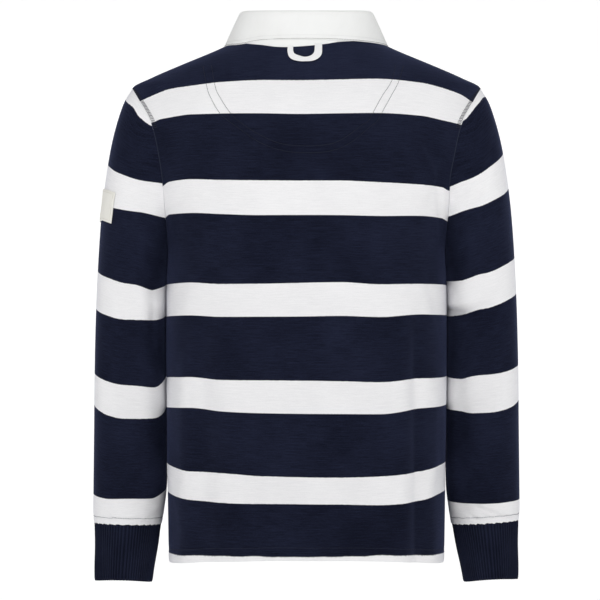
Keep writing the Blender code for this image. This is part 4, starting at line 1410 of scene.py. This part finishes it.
def hanger_loop():
    """A folded tape that hangs in a flat U from the back neckline."""
    knots = smooth_path(LOOP)
    x, z, width, lift = knots.T
    route, normals = on_body("back", x, z)
    route = route + lift[:, None] * normals
    ahead = unit(np.gradient(route, axis=0))
    wide = unit(np.cross(ahead, normals))
    share = np.linspace(-1, 1, 9)
    crown = LOOP_CROWN * (1 - share**4)
    grid = route[:, None, :] + spread(share, width / 2, wide) + crown[None, :, None] * normals[:, None, :]
    facing = unit(np.cross(np.gradient(grid, axis=1), np.gradient(grid, axis=0)))
    if (facing * normals[:, None, :]).sum() < 0:
        facing = -facing
    u = share[None, :] * width.mean() / 2
    shell = cloth_shell("hanger_loop_tape", grid, facing, u, thickness=LOOP_TAPE)
    rounder = shell.modifiers.new("rounder", "BEVEL")
    rounder.width = LOOP_ROUNDING * MM
    rounder.segments = 2
    rounder.limit_method = "ANGLE"
    apply_modifiers(shell)
    shell.data.shade_smooth()
    finish_piece(shell, loop_look, "collar_twill", "hanger_loop")


def label_grid(inset, rows, columns):
    """The label's points on the left sleeve, this far inside its edges."""
    grid, normals = sleeves["left"]
    angles = np.degrees(sleeve_turns)

    def on_sleeve(angle, z):
        column = [np.interp(angle, angles, grid[i, :, 2]) for i in range(len(grid))]
        place = np.interp(-z, -np.array(column), np.arange(len(grid)))
        low = int(place)
        values = []
        for source in (grid, normals):
            near = values_at(angle, angles, source[low])
            far = values_at(angle, angles, source[min(low + 1, len(grid) - 1)])
            values.append(blend(near, far, place - low))
        return values

    middle = on_sleeve(180, LABEL_TOP_Z)[0]
    width = abs(LABEL_FRONT_ANGLE - LABEL_BACK_ANGLE)
    side_inset = inset * width / LABEL_WIDTH
    places, out = [], []
    for level in np.linspace(LABEL_TOP_Z - inset, LABEL_TOP_Z - LABEL_HEIGHT + inset, rows):
        line, face = [], []
        for angle in np.linspace(LABEL_FRONT_ANGLE - side_inset, LABEL_BACK_ANGLE + side_inset, columns):
            first = on_sleeve(angle, level)[0]
            place, normal = on_sleeve(angle, level - LABEL_SLANT * abs(first[0] - middle[0]))
            line.append(place)
            face.append(normal)
        places.append(line)
        out.append(face)
    return np.array(places), unit(np.array(out))


def sleeve_label():
    rows, columns = 26, 34
    grid, normals = label_grid(0.0, rows, columns)
    share_v = np.linspace(-1, 1, rows)[:, None]
    share_u = np.linspace(-1, 1, columns)[None, :]
    edge = np.maximum(np.abs(share_v), np.abs(share_u))
    lift = LABEL_LIFT + LABEL_CLOTH - LABEL_EDGE_DROP * grown(edge, LABEL_EDGE_ONSET)
    lift = lift + LABEL_RIPPLE * np.sin(share_u * 3 + share_v * 4)
    raised = grid + lift[..., None] * normals
    shell = cloth_shell("sleeve_label_cloth", raised, normals, thickness=LABEL_CLOTH)
    finish_piece(shell, label_look, "label_cloth", "sleeve_label")
    border, out = label_grid(LABEL_HEM, rows=20, columns=26)
    border = border + (LABEL_LIFT + LABEL_CLOTH + LABEL_STITCH_LIFT) * out
    ring, ring_out = [
        np.concatenate([edge[0], edge[1:, -1], edge[-1, -2::-1], edge[-2:0:-1, 0]]) for edge in (border, out)
    ]
    stitches = run_of_stitches(ring, ring_out, pitch=2.0, radius=0.22, closed=True)
    sew("label_stitches", cream_thread, "label_cloth", [stitches])


def placket():
    rows, columns = 60, 15
    x = np.linspace(-PLACKET_HALF_WIDTH, PLACKET_HALF_WIDTH, columns)[None, :]
    z = np.linspace(PLACKET_TOP_Z, PLACKET_BOTTOM_Z, rows)[:, None] + 0 * x
    x = x + 0 * z
    edge = np.minimum(PLACKET_HALF_WIDTH - np.abs(x), z - PLACKET_BOTTOM_Z)
    crease = PLACKET_CREASE * np.sin(z / 17.0 + x / 30.0)
    lift = SEAM_GAP + PLACKET_CLOTH + dent(PLACKET_ROLL, edge) + PLACKET_CREASE + crease
    surface, normals = on_body("front", x, z)
    grid = surface + lift[..., None] * normals
    shell = cloth_shell("placket_cloth", grid, normals, x, z, PLACKET_CLOTH)
    finish_piece(shell, collar_look, "collar_twill", "placket")

    def on_placket(x, z):
        return on_body("front", x, z, SEAM_GAP + PLACKET_CLOTH + PLACKET_STITCH_LIFT)

    inner = PLACKET_HALF_WIDTH - PLACKET_STITCH
    low = PLACKET_BOTTOM_Z + PLACKET_STITCH
    down = np.linspace(PLACKET_TOP_Z - 1, low, 60)
    across = np.linspace(-inner, inner, 12)
    lines = [(-inner + 0 * down, down), (inner + 0 * down, down), (across, low + 0 * across)]
    lines.append((across, PLACKET_BOTTOM_Z + BOX_HEIGHT + 0 * across))
    runs = [run_of_stitches(*on_placket(x, z)) for x, z in lines]
    sew("placket_stitches", white_thread, "collar_twill", runs)
    holes = []
    for z in BUTTONS.values():
        bar = np.linspace(z - BUTTONHOLE_LENGTH / 2, z + BUTTONHOLE_LENGTH / 2, 40)
        for side in (-1, 1):
            near, normal = on_placket(HOLE_INNER_X * side + 0 * bar, bar)
            far, _ = on_placket(HOLE_OUTER_X * side + 0 * bar, bar)
            holes.append(zigzag(near, far, normal, pitch=0.42, radius=0.2))
    sew("buttonhole_stitches", white_thread, "collar_twill", holes)


def inset_faces(made, chosen, steps):
    """Insets the chosen faces of a piece again and again, by steps of thickness and depth."""
    only(made)
    bpy.ops.object.mode_set(mode="EDIT")
    bpy.ops.mesh.select_all(action="DESELECT")
    bpy.ops.object.mode_set(mode="OBJECT")
    for face in made.data.polygons:
        face.select = chosen(face)
    bpy.ops.object.mode_set(mode="EDIT")
    bpy.ops.mesh.select_mode(type="FACE")
    for thickness, depth in steps:
        bpy.ops.mesh.inset(thickness=thickness, depth=depth)
    bpy.ops.object.mode_set(mode="OBJECT")


def add_cylinder(sides, radius, depth, place=(0, 0, 0)):
    bpy.ops.object.select_all(action="DESELECT")
    bpy.ops.mesh.primitive_cylinder_add(vertices=sides, radius=radius, depth=depth, location=place)
    return bpy.context.active_object


def button_form():
    """A four-hole button with a raised rim, lying flat at the origin."""
    radius, high = BUTTON_RADIUS * MM, BUTTON_THICKNESS * MM
    made = add_cylinder(48, radius, high)
    dish = ((radius * 0.16, 0), (radius * 0.12, -high * 0.3), (radius * 0.3, 0))
    inset_faces(made, lambda face: face.normal.z > 0.9, dish)
    inset_faces(made, lambda face: face.normal.z < -0.9, ((radius * 0.2, 0),))
    rim = made.modifiers.new("rim", "BEVEL")
    rim.width = high * 0.14
    rim.segments = 3
    rim.limit_method = "ANGLE"
    rim.angle_limit = math.radians(30)
    apply_modifiers(made)
    for k in range(4):
        turn = math.radians(45 + 90 * k)
        place = (HOLE_PLACE * MM * math.cos(turn), HOLE_PLACE * MM * math.sin(turn), 0)
        drill = add_cylinder(20, HOLE_RADIUS * MM, high * 3, place)
        cut = made.modifiers.new("hole", "BOOLEAN")
        cut.operation = "DIFFERENCE"
        cut.solver = "EXACT"
        cut.object = drill
        apply_modifiers(made)
        bpy.data.objects.remove(drill, do_unlink=True)
    only(made)
    bpy.ops.object.shade_smooth_by_angle(angle=math.radians(35))
    return made


def buttons():
    """Copies of one button down the placket, each sewn on with crossed threads."""
    form = button_form()
    for name, z in BUTTONS.items():
        base, normal = on_body("front", np.array(0.0), np.array(z), SEAM_GAP + PLACKET_CLOTH + BUTTON_LIFT)
        wide = np.array([1.0, 0.0, 0.0])
        tall = unit(np.cross(normal, wide))
        turn = Matrix([[wide[i], tall[i], normal[i]] for i in range(3)]).to_4x4()
        centre = base + normal * (BUTTON_THICKNESS / 2)
        made = new_object(name + "_disc", form.data.copy())
        made.data.name = made.name
        made.data.transform(Matrix.Translation(centre * MM) @ turn)
        finish_piece(made, pressed_rubber, "button", name)
        turns = np.radians([45, 135, 225, 315])
        corners = [HOLE_PLACE * (math.cos(turn) * wide + math.sin(turn) * tall) for turn in turns]
        runs = []
        for a in (0, 1):
            step = corners[a + 2] - corners[a]
            length = float(np.linalg.norm(step)) + THREAD_TAIL
            level = base + BUTTON_THICKNESS * THREAD_LEVEL * normal
            for aside in (-THREAD_ASIDE, THREAD_ASIDE):
                middle = level + aside * unit(np.cross(normal, step)) + THREAD_OVER * a * normal
                runs.append(Stitches([middle], [unit(step)], [normal], [length], [BUTTON_THREAD]))
        sew(name + "_thread", white_thread, "button", runs)
    bpy.data.objects.remove(form, do_unlink=True)


def half_moon_sewing():
    moon = smooth_path(HALF_MOON).T
    lines = [on_body("back", x, z, STITCH_LIFT) for x, z in (moon[:2], moon[2:])]
    runs = [run_of_stitches(*line, radius=0.34) for line in lines]
    sew("half_moon_stitches", navy_thread, "striped_jersey", runs)


def armhole_sewing():
    """A ladder of stitches beside each armhole, down from the shoulder, between two lines of them."""
    runs = []
    for side in FACING:
        for sign in (-1, 1):
            near, out = beside_armhole(side, sign, LADDER_NEAR)
            far, _ = beside_armhole(side, sign, LADDER_FAR)
            near, far = near + STITCH_LIFT * out, far + STITCH_LIFT * out
            runs.append(rungs(near, far, out, LADDER_PITCH, radius=0.4))
            runs += [run_of_stitches(line, out, radius=0.26) for line in (near, far)]
    sew("armhole_stitches", navy_thread, "striped_jersey", runs)


def hem_sewing():
    runs = []
    for side in FACING:
        grid, normals = panels[side]
        rows = panel_rows()
        place = np.interp(HEM_SIDE_Z + HEM_STITCH, rows, np.arange(len(rows)))
        low, share = int(place), place - int(place)
        path = blend(grid[low], grid[low + 1], share) - HEM_SUNK * normals[low]
        runs.append(run_of_stitches(path[2:-2], normals[low][2:-2]))
    sew("hem_stitches", navy_thread, "striped_jersey", runs)
    for side in SIDES:
        grid, normals = sleeves[side.name]
        path = []
        for column in range(SLEEVE_TURNS):
            down = grid[:, column, 2]
            level = down[-1] + SLEEVE_END_STITCH + 0.5 * math.sin(column * 0.9) * math.sin(column * 0.31)
            path.append(values_at(-level, -down, grid[:, column]))
        line = np.array(path) - SLEEVE_END_SUNK * normals[-8]
        runs = [run_of_stitches(line, normals[-8], radius=0.3, closed=True)]
        sew("sleeve_end_stitches_" + side.name, grey_thread, "striped_jersey", runs)


def fall_line(inset):
    """A line on the collar's fall, this far above its lower edge."""
    drop = run_length(fall, 0)
    columns = range(COLLAR_COLUMNS + 1)
    return np.array([values_at(drop[-1, k] - inset, drop[:, k], fall[:, k]) for k in columns])


def collar_sewing():
    """Two rows of stitches round the fall's lower edge and its two ends."""
    out = smooth_path(fall_normals[-2, 2:-2], steps=4)
    inner = fall_line(COLLAR_STITCH)
    path = smooth_path(inner[2:-2], steps=4)
    runs = [run_of_stitches(path + COLLAR_STITCH_LIFT * out, unit(out))]
    for column in (2, COLLAR_COLUMNS - 2):
        end = smooth_path(np.concatenate([fall[5:-1, column], [inner[column]]]), steps=6)
        face = smooth_path(fall_normals[5:, column], steps=6)
        runs.append(run_of_stitches(end + COLLAR_STITCH_LIFT * face, unit(face)))
    sew("collar_stitches", white_thread, "collar_twill", runs)
    # The grey of these stitches near the fall's lower edge is partly a painted shadow: it draws the thin
    # dark line under the edge.
    edge = smooth_path(fall_line(COLLAR_EDGE_STITCH)[1:-1], steps=4)
    edge_out = unit(smooth_path(fall_normals[-2, 1:-1], steps=4))
    runs = [run_of_stitches(edge + COLLAR_STITCH_LIFT * edge_out, edge_out, radius=0.3)]
    sew("collar_edge_stitches", stone_thread, "collar_twill", runs)


hanger_loop()
sleeve_label()
placket()
buttons()
half_moon_sewing()
armhole_sewing()
hem_sewing()
collar_sewing()

# ---------------------------------------------------------------- light, floor and camera

WORLD_LIGHT = 0.3
PAPER_GLOW = 0.505
# In metres and watts
LIGHTS = rows_of(
    "name x y z width power",
    ("high", 0.1, -2.4, 2.3, 1.8, 47),
    ("left", -2.6, -2.4, 0.3, 1.6, 3.5),
    ("right", 2.6, -2.4, 0.3, 1.6, 3),
)
# The paper: a round floor whose rim turns up into a low wall, all the way round
FLOOR_Z = -2200.0
FLOOR_RADIUS = 3600.0
RIM_TURN = 1600.0
RIM_STEPS = 12
WALL_TOP_Z = 1000.0
FLOOR_SIDES = 72


def studio():
    world = bpy.data.worlds.new("studio")
    bpy.context.scene.world = world
    world.use_nodes = True
    background = world.node_tree.nodes["Background"]
    background.inputs["Color"].default_value = (1.0, 1.0, 1.0, 1.0)
    background.inputs["Strength"].default_value = WORLD_LIGHT
    profile = [(0.001, FLOOR_Z), (FLOOR_RADIUS, FLOOR_Z)]
    for turn in np.linspace(0, np.pi / 2, RIM_STEPS + 1)[1:]:
        out, up = math.sin(turn), 1 - math.cos(turn)
        profile.append((FLOOR_RADIUS + RIM_TURN * out, FLOOR_Z + RIM_TURN * up))
    profile.append((FLOOR_RADIUS + RIM_TURN, WALL_TOP_Z))
    places = []
    for radius, z in profile:
        for turn in np.arange(FLOOR_SIDES) * 2 * np.pi / FLOOR_SIDES:
            places.append((radius * math.cos(turn) * MM, radius * math.sin(turn) * MM, z * MM))
    mesh = bpy.data.meshes.new("floor")
    mesh.from_pydata(places, [], tube_faces(len(profile), FLOOR_SIDES))
    mesh.shade_smooth()
    floor = new_object("floor", mesh)
    look, shader, _ = new_material("pale_paper", roughness=0.9)
    shader.inputs["Base Color"].default_value = (0.7, 0.7, 0.7, 1)
    shader.inputs["Emission Color"].default_value = (1, 1, 1, 1)
    shader.inputs["Emission Strength"].default_value = PAPER_GLOW
    floor.data.materials.append(look)


def soft_light(light):
    data = bpy.data.lights.new(light.name, "AREA")
    data.shape = "SQUARE"
    data.size = light.width
    data.energy = light.power
    lamp = new_object(light.name, data)
    lamp.location = (light.x, light.y, light.z)
    lamp.visible_camera = False
    direction = Vector((0, 0, CAMERA_Z * MM)) - lamp.location
    lamp.rotation_euler = direction.to_track_quat("-Z", "Y").to_euler()


def camera():
    data = bpy.data.cameras.new("camera")
    data.sensor_width = SENSOR
    data.lens = SENSOR * CAMERA_DISTANCE / FIELD_AT_SHIRT
    data.clip_end = 50
    made = new_object("camera", data)
    made.location = (CAMERA_X * MM, -CAMERA_DISTANCE * MM, CAMERA_Z * MM)
    made.rotation_euler = (math.radians(90), 0, 0)
    bpy.context.scene.camera = made


studio()
for light in LIGHTS:
    soft_light(light)
camera()
bpy.context.scene.view_settings.view_transform = "Standard"
